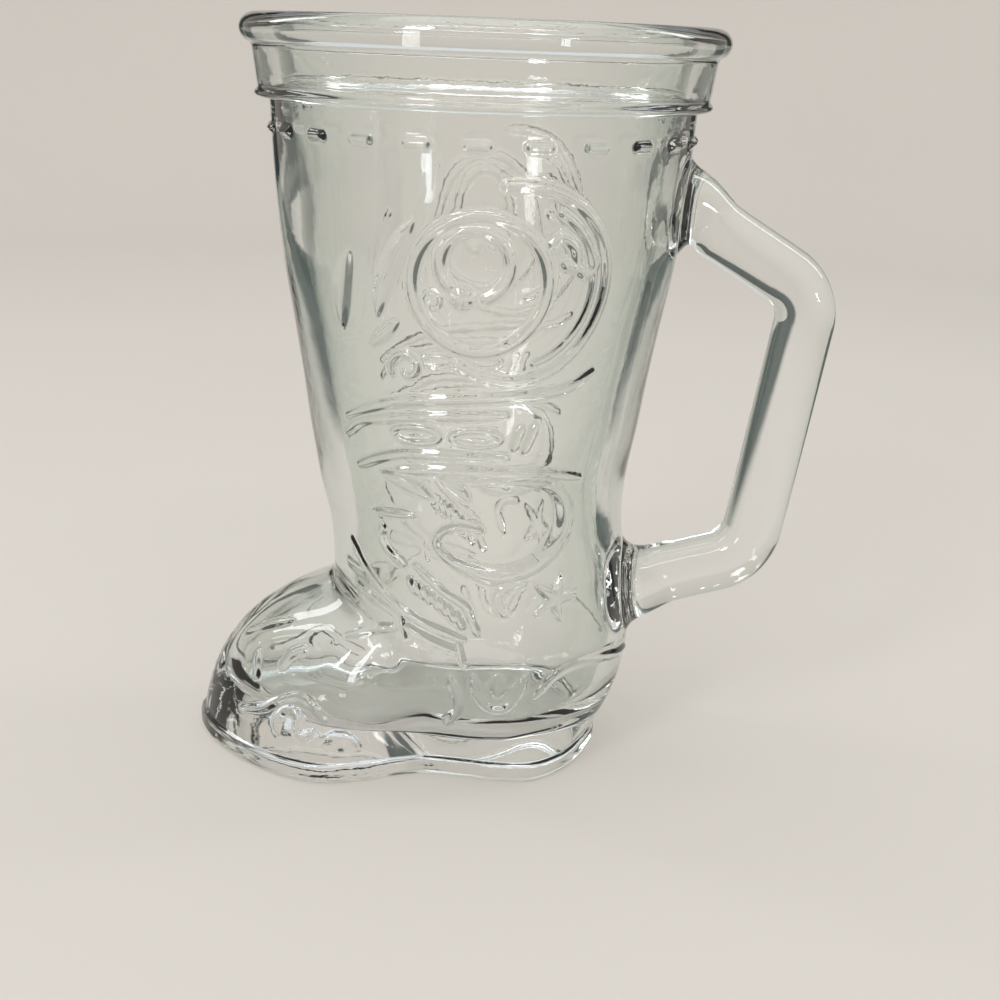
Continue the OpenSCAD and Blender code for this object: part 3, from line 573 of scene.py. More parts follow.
@dataclass
class Ornament:
    """Raised ornament of the left side; the right side is its mirror image."""

    form: BootForm
    line_half: float = 1.4
    line_rise: float = 0.78
    end_share: float = 0.6
    end_run: float = 1 / 12
    span_steps: int = 6
    arc_step: float = 7.5
    pad_rise: float = 0.85
    petal_rise: float = 0.6 * 0.85
    pad_power: float = 0.7
    pad_soft: float = 1.25
    least_half: float = 0.25
    leaf_steps: int = 17
    ribbon_rise: float = 1.3
    bead_rise: float = 1.2
    ball_at: tuple[float, float] = (-0.115, -0.13)
    ball_rise: float = 1.1
    ball_half: float = 2.7
    medallion_r: float = 18.0
    scroll_r: float = 9.6
    scroll_drop: float = 2.0
    scroll_t: float = 21.0
    oval_half: tuple[float, float] = (4.6, 1.6)
    oval_places: tuple[float, ...] = (-17.0, 2.0)
    oval_line: float = 0.85
    oval_steps: int = 33
    spur_drop: float = 16.7
    star_r: float = 4.9
    star_t: float = 33.0
    star_arms: int = 5
    star_tilt: float = 71.0
    arm_halves: tuple[float, float] = (2.3, 0.55)
    arm_rise: float = 0.95
    bead_span: tuple[float, float] = (-20.0, -1.8)
    bead_count: int = 7
    bead_reach: float = 1.1
    bead_half: float = 1.15
    buckle_reach: float = 2.4
    buckle_half: float = 0.9
    loop_t: float = 13.0
    toe_t: float = -55.0
    toe_up: float = 8.1
    toe_share: float = 1 / 2.6
    toe_half: float = 1.3
    toe_rise: float = 0.8
    fold_half: float = 1.5
    fold_rise: float = 0.42
    stitch_count: int = 6
    stitch_turn: float = 15.0
    stitch_reach: float = 1.6
    stitch_half: float = 1.25
    stitch_rise: float = 0.9
    strokes: list[Stroke] = field(default_factory=list)

    def build(self) -> None:
        """Lay out every group of the ornament."""
        self.lay_stitches()
        self.lay_medallion()
        self.lay_belt()
        self.lay_leaves_and_scroll()
        self.lay_spur()
        self.lay_strap_loop()
        self.lay_foot_lines()
        LOG.info("ornament: %d raised lines", len(self.strokes))

    def add(self, places: Table, halves: np.ndarray | float, rise: float) -> None:
        """Add a raised line.

        Args:
            places: Rows of degrees and height on the left side.
            halves: Half width, for the whole line or at each place.
            rise: Height of the crest.
        """
        path = self.form.on_wall(*np.array(places, float).T)
        self.strokes.append(Stroke(path, np.broadcast_to(halves, len(path)) * 1.0, rise))

    def line(self, points: Table, z: float, size: float = 1.0, half: float = 0.0,
             rise: float = 0.0, about: float | None = None) -> None:
        """Add a smooth line through places, thinned a little towards its ends.

        Args:
            points: Places of the line, from one of the tables.
            z: Height that the places are counted from.
            size: Size of the figure.
            half: Half width, or 0 for a plain line.
            rise: Height of the crest, or 0 for a plain line.
            about: Degrees of the figure's own place, if it has one.
        """
        if about is not None:
            scale = self.form.mm_per_degree(about, z)
            points = [(about + u * size / scale, v) for u, v in points]
        spans = len(points) - 1
        share = np.linspace(0, 1, self.span_steps * spans + 1)
        t, up = through([(t, v * size) for t, v in points], share * spans)
        ends = np.clip(np.minimum(share, 1 - share) / self.end_run, 0, 1)
        widths = (half or self.line_half) * mix(self.end_share, 1.0, ends)
        self.add(np.stack([t, up + z], 1), widths, rise or self.line_rise)

    def arcs(self, table: Table, z: float, size: float) -> None:
        """Add arcs and spirals round places on the wall.

        Args:
            table: A row for each arc.
            z: Height that the places are counted from.
            size: Size of the figure.
        """
        for x, y, first, last, start, stop, half in table:
            up = z + y * size
            scale = self.form.mm_per_degree(0.0, up)
            share = np.linspace(0, 1, max(int(abs(stop - start) / self.arc_step), 6) + 1)
            a, r = np.radians(mix(start, stop, share)), mix(first * size, last * size, share)
            places = np.stack([(x * size + r * np.cos(a)) / scale, up + r * np.sin(a)], 1)
            self.add(places, half or self.line_half, self.line_rise)

    def leaves(self, table: Table, z: float, size: float, rise: float) -> None:
        """Add filled leaves, pointed at both ends.

        Args:
            table: A row for each leaf.
            z: Height that the places are counted from.
            size: Size of the figure.
            rise: Height of the crest.
        """
        s = np.linspace(-1, 1, self.leaf_steps)
        for t, y, half_length, half_width, tilt, bend in table:
            up = z + y * size
            scale = self.form.mm_per_degree(t, up)
            along, side = s * half_length * size, bend * (1 - s * s)
            c, d = math.cos(math.radians(tilt)), math.sin(math.radians(tilt))
            places = np.stack([t + (along * c - side * d) / scale, up + along * d + side * c], 1)
            widths = half_width * size * (1 - s * s) ** self.pad_power
            self.add(places, np.maximum(widths, self.least_half) * self.pad_soft, rise)

    def lay_stitches(self) -> None:
        """Lay the row of stitches under the ridge."""
        z = middle_z("top_stitches")
        reach = self.stitch_reach / self.form.mm_per_degree(0.0, z)
        for i in range(-self.stitch_count, self.stitch_count + 1):
            t = i * self.stitch_turn
            self.add([(t - reach, z), (t, z), (t + reach, z)], self.stitch_half, self.stitch_rise)

    def lay_medallion(self) -> None:
        """Lay the medallion with its ball and curl, and the petals in front of it."""
        z, r = middle_z("medallion_left"), self.medallion_r
        self.arcs(MEDALLION_ARCS + TENDRIL, z, r)
        along, up = (share * r for share in self.ball_at)
        t = along / self.form.mm_per_degree(0.0, z)
        self.add([(t - 0.2, z + up), (t + 0.2, z + up)], self.ball_half, self.ball_rise)
        self.line(MEDALLION_CURL, z, r, about=0.0)
        self.line(MEDALLION_SPRIG, z, r, about=0.0)
        self.leaves(PETALS, z, r, self.petal_rise)

    def lay_belt(self) -> None:
        """Lay the belt band with its lines, slanted strokes and outlined stitches."""
        z = middle_z("belt_stitches_left")
        for points in BELT_LINES:
            self.line(points, z)
        along, up = self.oval_half
        turn = np.radians(np.linspace(0, 360, self.oval_steps))
        for t in self.oval_places:
            x = t + along * np.cos(turn) / self.form.mm_per_degree(t, z)
            self.add(np.stack([x, z + up * np.sin(turn)], 1), self.oval_line, self.line_rise)

    def lay_leaves_and_scroll(self) -> None:
        """Lay the leaves under the belt and the large scroll behind them."""
        z, r = self.form.ankle_z - self.scroll_drop, self.scroll_r
        self.leaves(LEAVES, z, r, self.pad_rise)
        self.line(LEAF_STEM, z)
        scale = self.form.mm_per_degree(self.scroll_t, z)
        steps = np.linspace(0, len(RIBBON) - 1, self.span_steps * len(RIBBON))
        u, v, half = through(RIBBON, steps)
        places = np.stack([self.scroll_t + u * r / scale, z + v * r], 1)
        self.add(places, half, self.ribbon_rise)

    def lay_spur(self) -> None:
        """Lay the spur strap with its beads and buckle, and the star with its yoke."""
        z, r = self.form.ankle_z - self.spur_drop, self.star_r
        for points, size, half, rise in SPUR_LINES:
            self.line(points, z, size * r or 1.0, half, rise)
        for t in np.linspace(*self.bead_span, self.bead_count):
            up, d = z + float(curve(ROPE, t)) * r, self.bead_reach
            self.add([(t - d, up + d), (t + d, up - d)], self.bead_half, self.bead_rise)
        for t, share in (BUCKLE[0], BUCKLE[-1]):
            up, d = share * r, self.buckle_reach
            self.line([(t - 1, up + d), (t + 1, up - d)], z, 1.0, self.buckle_half)
        middle, scale = self.star_t, self.form.mm_per_degree(self.star_t, z)
        for i in range(self.star_arms):
            a = math.radians(self.star_tilt + 360 / self.star_arms * i)
            tip = (middle + r * math.cos(a) / scale, z + r * math.sin(a))
            self.add([(middle, z), tip], np.array(self.arm_halves), self.arm_rise)
        self.line(YOKE, z, r, about=middle)

    def lay_strap_loop(self) -> None:
        """Lay the loop that hangs from the strap, with its pad."""
        r = self.star_r
        z = (self.form.ankle_z - self.spur_drop + self.form.sole_h) / 2
        for points in LOOP_LINES:
            self.line(points, z, r, about=self.loop_t)
        self.leaves(LOOP_PAD, z, r, self.pad_rise)

    def lay_foot_lines(self) -> None:
        """Lay the folds, the counter's seam, the toe scroll and the creases of the foot."""
        for points in FOOT_LINES:
            self.line(points, 0.0, self.form.bulge_z, self.fold_half, self.fold_rise)
        low, high = node_box("toe_scroll_left")
        z, r = self.form.sole_h + self.toe_up, (high.z - low.z) * self.toe_share
        for points in TOE_LINES:
            self.line(points, z, r, self.toe_half, self.toe_rise, self.toe_t)

    def read(self, points: np.ndarray, margin: float) -> tuple[np.ndarray, np.ndarray]:
        """Read the height of the ornament over the bare wall.

        Args:
            points: Points on the bare wall.
            margin: Extra reach beyond each line's foot, in half widths.

        Returns:
            The height at each point, and whether the point is near a line.
        """
        folded = points.copy()
        folded[:, 1] = -np.abs(points[:, 1])
        height = np.zeros(len(points))
        near = np.zeros(len(points), bool)
        for stroke in self.strokes:
            reach = stroke.halves.max() * (1 + margin)
            low, high = stroke.path.min(0) - reach, stroke.path.max(0) + reach
            pick = np.flatnonzero(((folded > low) & (folded < high)).all(1))
            if len(pick):
                q = stroke.nearness(folded[pick])
                bump = stroke.rise * np.maximum(1 - q * q, 0) ** 2
                height[pick] = np.maximum(height[pick], bump)
                near[pick] |= q < 1 + margin
        return height, near


@dataclass
class Part:
    """Piece of the casting, with the rows that shape it.

    Attributes:
        name: Name of the piece.
        region: Mark of its faces.
        solids: Frame nodes that it stands for.
        figures: Groups of ornament on it, which have a node on each side.
    """

    form: BootForm
    name: ClassVar[str]
    region: ClassVar[Region]
    solids: ClassVar[tuple[str, ...]]
    figures: ClassVar[tuple[str, ...]] = ()

    @property
    def nodes(self) -> tuple[str, ...]:
        """Return every frame node that the piece stands for."""
        sides = (f"{figure}_{side}" for figure in self.figures for side in ("left", "right"))
        return (*self.solids, *sides)

    def rows(self, surface: Surface, places: Table) -> list[Station]:
        """Return a row of the piece for each (height, value)."""
        return [Station(surface, float(z), float(value), self.region) for z, value in places]


@dataclass
class SolePart(Part):
    """Flat sole with its softened edges and its welt ledge."""

    edge_round: float = 0.6
    edge_rise: float = 1.5
    foot_round: float = 1.3
    lip_rise: float = 0.3
    name = "glass_sole"
    region = Region.SOLE
    solids = ("sole",)

    def stations(self) -> list[Station]:
        """Lay out the rows from the middle of the underside to the foot of the upper.

        Returns:
            The rows in order.
        """
        e, up, foot = self.edge_round, self.edge_rise, self.foot_round
        top = self.form.sole_h
        lip = top - self.lip_rise
        edge = [(foot * (1 - cos), foot * (1 - sin)) for sin, cos in turned(15, 90, 6)]
        edge += [(z, 0) for z in np.linspace(foot, lip - up, 4)[1:]]
        edge += [(lip - up * (1 - sin), e * (1 - cos)) for sin, cos in turned(15, 75, 5)]
        return [
            *self.rows(Surface.UNDERSIDE, [(0, share) for share in UNDERSIDE_SHARES]),
            *self.rows(Surface.SOLE_EDGE, edge),
            *self.rows(Surface.LEDGE, [(mix(lip, top, share), share) for share in LEDGE_SHARES]),
        ]


@dataclass
class FootPart(Part):
    """Vamp, toe dome and heel counter, with the ornament on their wall."""

    spacing: float = 1.2
    first_rows: tuple[float, float] = (0.06, 0.25)
    name = "glass_foot"
    region = Region.FOOT
    solids = ("vamp", "heel_counter")
    figures = ("large_scroll", "spur_strap", "strap_beads", "spur_star", "strap_loop",
               "ankle_folds", "counter_line", "toe_scroll", "vamp_creases")

    def stations(self) -> list[Station]:
        """Return the rows of the outer wall from the welt to the ankle."""
        heights = self.form.rows(self.form.sole_h, self.spacing, False)
        heights[1:1] = [heights[0] + up for up in self.first_rows]
        return self.rows(Surface.UPPER, [(z, 0) for z in heights[:-1]])

    def bore_stations(self) -> list[Station]:
        """Return the rows of the bore from the ankle down to the middle of the floor."""
        floor = self.form.floor_h
        heights = self.form.rows(floor, 2 * self.spacing, True)
        rows = self.rows(Surface.CAVITY, [(z, 0) for z in reversed(heights)])
        return rows + self.rows(Surface.FLOOR, [(floor, share) for share in FLOOR_SHARES])


@dataclass
class ShaftPart(Part):
    """Flared round wall of the boot's leg, with the ornament on it."""

    spacing: float = 1.2
    neck_round: float = 0.6
    name = "glass_shaft"
    region = Region.SHAFT
    solids = ("shaft", "top_stitches")
    figures = ("medallion", "petals", "belt_lines", "belt_stitches", "leaf_spray")

    def stations(self) -> list[Station]:
        """Lay out the rows of the outer wall from the ankle to the ridge.

        Returns:
            The rows in order.
        """
        f, e = self.form, self.neck_round
        neck = f.shaft_top_z - e
        heights = np.linspace(f.ankle_z, neck, round((neck - f.ankle_z) / self.spacing) + 1)
        places = [(z, f.shaft_r(z)) for z in heights]
        for sin, cos in turned(25, 65, 3):
            z = neck + e * sin
            places.append((z, f.shaft_r(z) + e * (1 - cos)))
        return self.rows(Surface.TURNED, places)

    def bore_stations(self) -> list[Station]:
        """Return the rows of the bore from the ridge down to the ankle."""
        low, top = self.form.ankle_z, self.form.shaft_top_z
        heights = np.linspace(top, low, round((top - low) / (2 * self.spacing)) + 1)[:-1]
        return self.rows(Surface.BORE, [(z, self.form.bore_r(z)) for z in heights])


@dataclass
class RimPart(Part):
    """Ridge, smooth collar and rolled rim."""

    ridge_out: float = 0.7
    neck_round: float = 0.6
    bead_start: float = -52.0
    bead_rows: int = 34
    bore_rows: int = 14
    band_gap: float = 0.7
    neck_shares: tuple[float, float] = (0.42, 0.5)
    name = "glass_rim"
    region = Region.RIM
    solids = ("rim_bead", "collar_band", "collar_ridge")

    def stations(self) -> list[Station]:
        """Lay out the rows from the foot of the ridge up over the bead to the mouth.

        Returns:
            The rows in order.
        """
        f = self.form
        ridge_r = node_box("collar_ridge")[1].x
        low_r, top_r = ridge_r - self.ridge_out, f.collar_top_r
        half = (f.collar_z - f.shaft_top_z) / 2
        core, mid = low_r - half, f.shaft_top_z + half
        places = [(f.shaft_top_z, f.shaft_top_r + self.neck_round)]
        for sin, cos in turned(-85, 35, 11):
            places.append((mid + half * sin, core + (ridge_r - core) * cos))
        for up, out in RIDGE_FILLET:
            places.append((f.collar_z + up, low_r + out))
        band_h = f.bead_z - f.collar_z
        for share in np.linspace(0.1, 1, 9):
            up = (band_h - self.band_gap) * share
            places.append((f.collar_z + up, mix(low_r, top_r, up / band_h)))
        half_w, half_h = f.bead_w / 2, (f.glass_h - f.bead_z) / 2
        cx, cz = f.rim_r - half_w, f.bead_z + half_h
        bead = [(cz + half_h * sin, cx + half_w * cos) for sin, cos in
                turned(self.bead_start, 180, self.bead_rows)]
        for up, out in BEAD_FILLET:
            places.append((f.bead_z + up, top_r + out))
        neck = [mix(a, b, c) for a, b, c in zip((f.bead_z, top_r), bead[0], self.neck_shares)]
        places.append(tuple(neck))
        return self.rows(Surface.TURNED, places + bead)

    def bore_stations(self) -> list[Station]:
        """Return the rows of the bore from the mouth down to the ridge."""
        f = self.form
        top = (f.bead_z + f.glass_h) / 2
        heights = np.linspace(top, f.shaft_top_z, self.bore_rows)[1:-1]
        return self.rows(Surface.BORE, [(z, f.bore_r(z)) for z in heights])


@dataclass
class HandlePart(Part):
    """Solid bar handle whose two roots swell and flow into the wall."""

    bar_t: float = 12.0
    bar_w: float = 13.0
    corner_r: float = 10.5
    root_len: float = 11.0
    root_half_h: float = 8.6
    root_half_w: float = 8.8
    fillet: float = 1.4
    fillet_power: float = 2.5
    power: float = 2.6
    upper_root_z: float = 116.0
    lower_root_z: float = 36.0
    upper_corner: tuple[float, float] = (67.8, 99.7)
    lower_corner: tuple[float, float] = (59.0, 43.0)
    blend_len: float = 9.0
    line_step: float = 0.4
    corner_steps: int = 40
    ring_turn: float = 4.5
    ring_gap: float = 3.2
    line: np.ndarray = field(init=False)
    run: np.ndarray = field(init=False)
    name = "glass_handle"
    region = Region.HANDLE
    solids = ("handle_upper_arm", "handle_grip", "handle_lower_arm")

    def straight(self, begin: np.ndarray, end: np.ndarray, heading: float) -> list[Place]:
        """Return a straight stretch of the centre line, with both of its ends."""
        count = max(int(np.linalg.norm(end - begin) / self.line_step), 2)
        return [(*mix(begin, end, share), heading) for share in np.linspace(0, 1, count + 1)]

    def centre_line(self) -> list[Place]:
        """Lay out the centre line.

        Returns:
            Its places as (x, z, heading), from the upper to the lower root.
        """
        upper_r = float(self.form.shaft_r(self.upper_root_z))
        lower_r = float(self.form.wall_r(np.array([180.0]), np.array([self.lower_root_z]))[0])
        ends = ((upper_r, self.upper_root_z), (lower_r, self.lower_root_z))
        start, *corners, stop = map(
            np.array, (ends[0], self.upper_corner, self.lower_corner, ends[1])
        )
        legs = [start, *corners, stop]
        headings = []
        for p, q in zip(legs, legs[1:]):
            headings.append(-abs(math.degrees(math.atan2(q[1] - p[1], q[0] - p[0]))))
        line: list[Place] = []
        here = start
        for corner, h0, h1 in zip(corners, headings, headings[1:]):
            a0 = math.radians(h0)
            cut = self.corner_r * math.tan(math.radians((h0 - h1) / 2))
            begin = corner - cut * np.array([math.cos(a0), math.sin(a0)])
            centre = begin + self.corner_r * np.array([math.sin(a0), -math.cos(a0)])
            line += self.straight(here, begin, h0)[:-1]
            for h in np.linspace(h0, h1, self.corner_steps):
                a = math.radians(h)
                here = centre + self.corner_r * np.array([-math.sin(a), math.cos(a)])
                line.append((*here, h))
        return line + self.straight(here, stop, headings[-1])[1:]

    def half_sizes(self, d: float) -> tuple[float, float]:
        """Measure the bar.

        Args:
            d: Distance from the nearer root.

        Returns:
            The half width and the half thickness there.
        """
        swell = max(1 - d / self.root_len, 0) ** 2
        edge = max(1 - d / (2 * self.fillet), 0) ** self.fillet_power * self.fillet
        return (
            mix(self.bar_w / 2, self.root_half_w, swell) + edge,
            mix(self.bar_t / 2, self.root_half_h, swell) + edge,
        )

    def wall_points(self, u: np.ndarray, v: np.ndarray, upper: bool, d: float) -> np.ndarray:
        """Return a ring that follows the wall at a distance from it.

        Args:
            u: Share of the half width at each point of the ring.
            v: Share of the half thickness at each point, towards the outside of the bend.
            upper: True at the upper root and False at the lower one.
            d: Distance from the wall.

        Returns:
            The points of the ring.
        """
        half_w, half_t = self.half_sizes(d)
        root_z, upward = self.root(upper)
        y, z = u * half_w, root_z + upward * v * half_t
        r = self.form.wall_r(np.full_like(z, 180.0), z)
        for _ in range(3):
            a = 180 - np.degrees(np.arcsin(np.clip(np.abs(y) / r, 0, 1)))
            r = self.form.wall_r(a, z)
        return np.stack([np.sqrt(r * r - y * y) + d, y, z], 1)

    def root(self, upper: bool) -> tuple[float, float]:
        """Return a root's height, and 1 or -1 as the outside of the bend is up or down."""
        return (self.upper_root_z, 1.0) if upper else (self.lower_root_z, -1.0)

    def ring(self, u: np.ndarray, v: np.ndarray, s: float) -> np.ndarray:
        """Return the ring of the bar at a length along its centre line.

        Args:
            u: Share of the half width at each point.
            v: Share of the half thickness at each point, towards the outside of the bend.
            s: Length along the centre line from the upper root.

        Returns:
            The points of the ring.
        """
        x, z, h = (np.interp(s, self.run, self.line[:, i]) for i in range(3))
        d = min(s, self.run[-1] - s)
        half_w, half_t = self.half_sizes(d)
        a = math.radians(h)
        bar = np.stack([x - v * half_t * math.sin(a), u * half_w, z + v * half_t * math.cos(a)], 1)
        wall = self.wall_points(u, v, bool(s < self.run[-1] / 2), d)
        return mix(wall, bar, smooth_step(d / self.blend_len))

    def prepare(self) -> list[float]:
        """Measure the centre line and choose where the bar's rings are set.

        Returns:
            The lengths along the line at which there is a ring.
        """
        self.line = np.array(self.centre_line())
        steps = np.hypot(np.diff(self.line[:, 0]), np.diff(self.line[:, 1]))
        self.run = np.concatenate([[0], np.cumsum(steps)])
        total, here = float(self.run[-1]), ROOT_RINGS[-1]
        before = np.interp(here, self.run, self.line[:, 2])
        middle = []
        for s in np.arange(here, total - here, self.line_step / 2):
            heading = np.interp(s, self.run, self.line[:, 2])
            if abs(heading - before) > self.ring_turn or s - here > self.ring_gap:
                middle.append(float(s))
                here, before = s, heading
        return [*ROOT_RINGS, *middle, *(total - d for d in reversed(ROOT_RINGS))]


@dataclass
class GlassCasting:
    """The whole glass as one closed skin, and its division into pieces."""

    form: BootForm
    ornament: Ornament
    sole: SolePart
    foot: FootPart
    shaft: ShaftPart
    rim: RimPart
    handle: HandlePart
    turns: int = 240
    fine_margins: tuple[float, ...] = (0.7, 0.08)
    quick_margins: tuple[float, ...] = (0.9,)
    loose: float = 0.2
    ring_level: float = 5 * MM

    @property
    def parts(self) -> tuple[Part, ...]:
        """Return the pieces in the order in which they are made."""
        return self.rim, self.shaft, self.foot, self.sole, self.handle

    def row_radius(self, row: Station, a: np.ndarray) -> np.ndarray:
        """Return the radius of a row at each angle.

        Args:
            row: The row.
            a: Angles.

        Returns:
            The radius at each place.
        """
        form, plan, z = self.form, self.form.plan_r(a), np.full_like(a, row.z)
        match row.surface:
            case Surface.UNDERSIDE:
                return row.value * (plan - self.sole.foot_round)
            case Surface.SOLE_EDGE:
                return plan - row.value
            case Surface.LEDGE:
                return mix(plan - self.sole.edge_round, form.foot_r(a, z), row.value)
            case Surface.UPPER:
                return form.foot_r(a, z) + form.eased(a, z, False)
            case Surface.CAVITY:
                return form.cavity_r(a, z) + form.eased(a, z, True)
            case Surface.FLOOR:
                return row.value * form.cavity_r(a, z)
            case _:
                return row.value + form.eased(a, z, row.surface is Surface.BORE)

    def turn_skin(self) -> bmesh.types.BMesh:
        """Spin the rows round the axis and set each vertex on its wall.

        Returns:
            The closed skin without the handle.
        """
        sole = self.sole.stations()
        outer = self.foot.stations() + self.shaft.stations()
        rows = sole + outer + self.rim.stations()
        for part in (self.rim, self.shaft, self.foot):
            rows += part.bore_stations()
        turn = np.arange(self.turns) * 360 / self.turns
        a = 180 - np.minimum(turn, 360 - turn)
        radius = [self.row_radius(row, a) for row in rows]
        bm = bmesh.new()
        row_key = bm.verts.layers.int.new("row")
        wall_key = bm.verts.layers.int.new("wall")
        region_key = bm.faces.layers.int.new("region")
        for i, vert in enumerate(draw_profile(bm, [(1.0 + i, 0, 0) for i in range(len(rows))])):
            wall = Wall.OUTER if len(sole) <= i < len(sole) + len(outer) else Wall.OTHER
            vert[row_key], vert[wall_key] = i, wall.value
        spin(bm, self.turns, 0)
        step = 2 * math.pi / self.turns
        for vert in bm.verts:
            j = round(math.atan2(vert.co.y, vert.co.x) / step) % self.turns
            i = vert[row_key]
            r = radius[i][j]
            vert.co = (r * math.cos(j * step), r * math.sin(j * step), rows[i].z)
        bmesh.ops.remove_doubles(bm, verts=bm.verts[:], dist=1e-4)
        for face in bm.faces:
            face[region_key] = rows[min(v[row_key] for v in face.verts)].region.value
        return bm

    def grow_handle(self, bm: bmesh.types.BMesh) -> None:
        """Open the wall at both roots, and draw the bar out of one and into the other.

        Args:
            bm: The skin.
        """
        lengths = self.handle.prepare()
        share_u = bm.verts.layers.float.new("bar_u")
        share_v = bm.verts.layers.float.new("bar_v")
        region_key = bm.faces.layers.int["region"]
        wall_key = bm.verts.layers.int["wall"]
        edges, lower = self.open_root(bm, True), self.open_root(bm, False)
        bar = []
        for s in lengths:
            made = bmesh.ops.extrude_edge_only(bm, edges=edges)["geom"]
            verts = [g for g in made if isinstance(g, bmesh.types.BMVert)]
            fresh = set(verts)
            u, v = (np.array([vert[key] for vert in verts]) for key in (share_u, share_v))
            for vert, point in zip(verts, self.handle.ring(u, v, s)):
                vert.co = point
                vert[wall_key] = Wall.OTHER.value
            bar += [g for g in made if isinstance(g, bmesh.types.BMFace)]
            lines = (g for g in made if isinstance(g, bmesh.types.BMEdge))
            edges = [line for line in lines if fresh.issuperset(line.verts)]
        bar += bmesh.ops.bridge_loops(bm, edges=edges + lower)["faces"]
        for face in bar:
            face[region_key] = Region.HANDLE.value

    def open_root(self, bm: bmesh.types.BMesh, upper: bool) -> list[bmesh.types.BMEdge]:
        """Cut the footprint of one root out of the wall and true its edge.

        Args:
            bm: The skin.
            upper: True for the upper root and False for the lower one.

        Returns:
            The edges of the opening.
        """
        wall_key = bm.verts.layers.int["wall"]
        share_u = bm.verts.layers.float["bar_u"]
        share_v = bm.verts.layers.float["bar_v"]
        half_w, half_t = self.handle.half_sizes(0.0)
        root_z, upward = self.handle.root(upper)
        power = self.handle.power

        def place(co: Vector) -> Place:
            """Return the shares of the half sizes, and the size of the outline there."""
            u, v = co.y / half_w, upward * (co.z - root_z) / half_t
            return u, v, (abs(u) ** power + abs(v) ** power) ** (1 / power)

        inside = [
            f for f in bm.faces
            if f.calc_center_median().x > 0
            and all(v[wall_key] for v in f.verts)
            and place(f.calc_center_median())[2] < 1
        ]
        picked = set(inside)
        rim = unique(e for f in inside for e in f.edges if not picked.issuperset(e.link_faces))
        bmesh.ops.delete(bm, geom=inside, context="FACES")
        edges = [e for e in rim if e.is_valid]
        verts = unique(v for e in edges for v in e.verts)
        for vert in verts:
            u, v, size = place(vert.co)
            vert[share_u], vert[share_v] = u / size, v / size
        u, v = (np.array([vert[key] for vert in verts]) for key in (share_u, share_v))
        for vert, point in zip(verts, self.handle.wall_points(u, v, upper, 0.0)):
            vert.co = point
            vert[wall_key] = Wall.ROOT_EDGE.value
        return edges

    def press_ornament(self, bm: bmesh.types.BMesh) -> None:
        """Refine the wall along the raised lines and lift it to their height.

        Args:
            bm: The skin with its handle.
        """
        wall_key = bm.verts.layers.int["wall"]
        on_wall = Wall.OUTER.value
        for margin in self.fine_margins:
            wall = [f for f in bm.faces if all(v[wall_key] == on_wall for v in f.verts)]
            centres = np.array([f.calc_center_median() for f in wall])
            near = self.ornament.read(centres, margin)[1]
            edges = unique(e for f, hit in zip(wall, near) if hit for e in f.edges)
            bmesh.ops.subdivide_edges(bm, edges=edges, cuts=1, use_grid_fill=True)
        wall = [v for v in bm.verts if v[wall_key] == on_wall]
        points = np.array([v.co for v in wall])
        a = 180 - np.abs(np.degrees(np.arctan2(points[:, 1], points[:, 0])))
        exact = self.form.wall_r(a, points[:, 2])
        flat = np.hypot(points[:, 0], points[:, 1])
        points[:, :2] *= np.where(np.abs(exact - flat) < self.loose, exact / flat, 1.0)[:, None]
        for vert, point in zip(wall, points):
            vert.co = point
        bmesh.ops.recalc_face_normals(bm, faces=bm.faces[:])
        bm.normal_update()
        for vert, rise in zip(wall, self.ornament.read(points, 0.0)[0]):
            if rise > 0:
                vert.co += vert.normal * rise

    def build(self) -> bmesh.types.BMesh:
        """Shape the whole casting and note its smooth normals.

        Returns:
            The closed skin in metres.
        """
        bm = self.turn_skin()
        self.grow_handle(bm)
        self.press_ornament(bm)
        bmesh.ops.scale(bm, vec=(MM, MM, MM), verts=bm.verts[:])
        bmesh.ops.recalc_face_normals(bm, faces=bm.faces[:])
        bm.normal_update()
        normal_key = bm.verts.layers.float_vector.new("smooth_normal")
        for vert in bm.verts:
            vert[normal_key] = vert.normal
        open_edges = sum(1 for e in bm.edges if len(e.link_faces) != 2)
        LOG.info("casting: %d faces, %d open edges", len(bm.faces), open_edges)
        return bm

    def cut_piece(self, bm: bmesh.types.BMesh, part: Part,
                  finishes: Sequence[bpy.types.Material]) -> bpy.types.Object:
        """Cut one piece out of the casting and close it where its neighbours were.

        Args:
            bm: The whole casting.
            part: Piece to keep.
            finishes: Finish of its outside, and of faces that the real glass doesn't have.

        Returns:
            The finished object.
        """
        cut = bm.copy()
        region_key = cut.faces.layers.int["region"]
        normal_key = cut.verts.layers.float_vector["smooth_normal"]
        others = [f for f in cut.faces if f[region_key] != part.region.value]
        bmesh.ops.delete(cut, geom=others, context="FACES")
        for face in cut.faces:
            face.smooth = True
        self.close_openings(cut)
        mesh = bpy.data.meshes.new(part.name)
        normals = [tuple(v[normal_key]) for v in cut.verts]
        cut.to_mesh(mesh)
        cut.free()
        for finish in finishes:
            mesh.materials.append(finish)
        mesh.normals_split_custom_set_from_vertices(normals)
        return add_object(part.name, mesh)

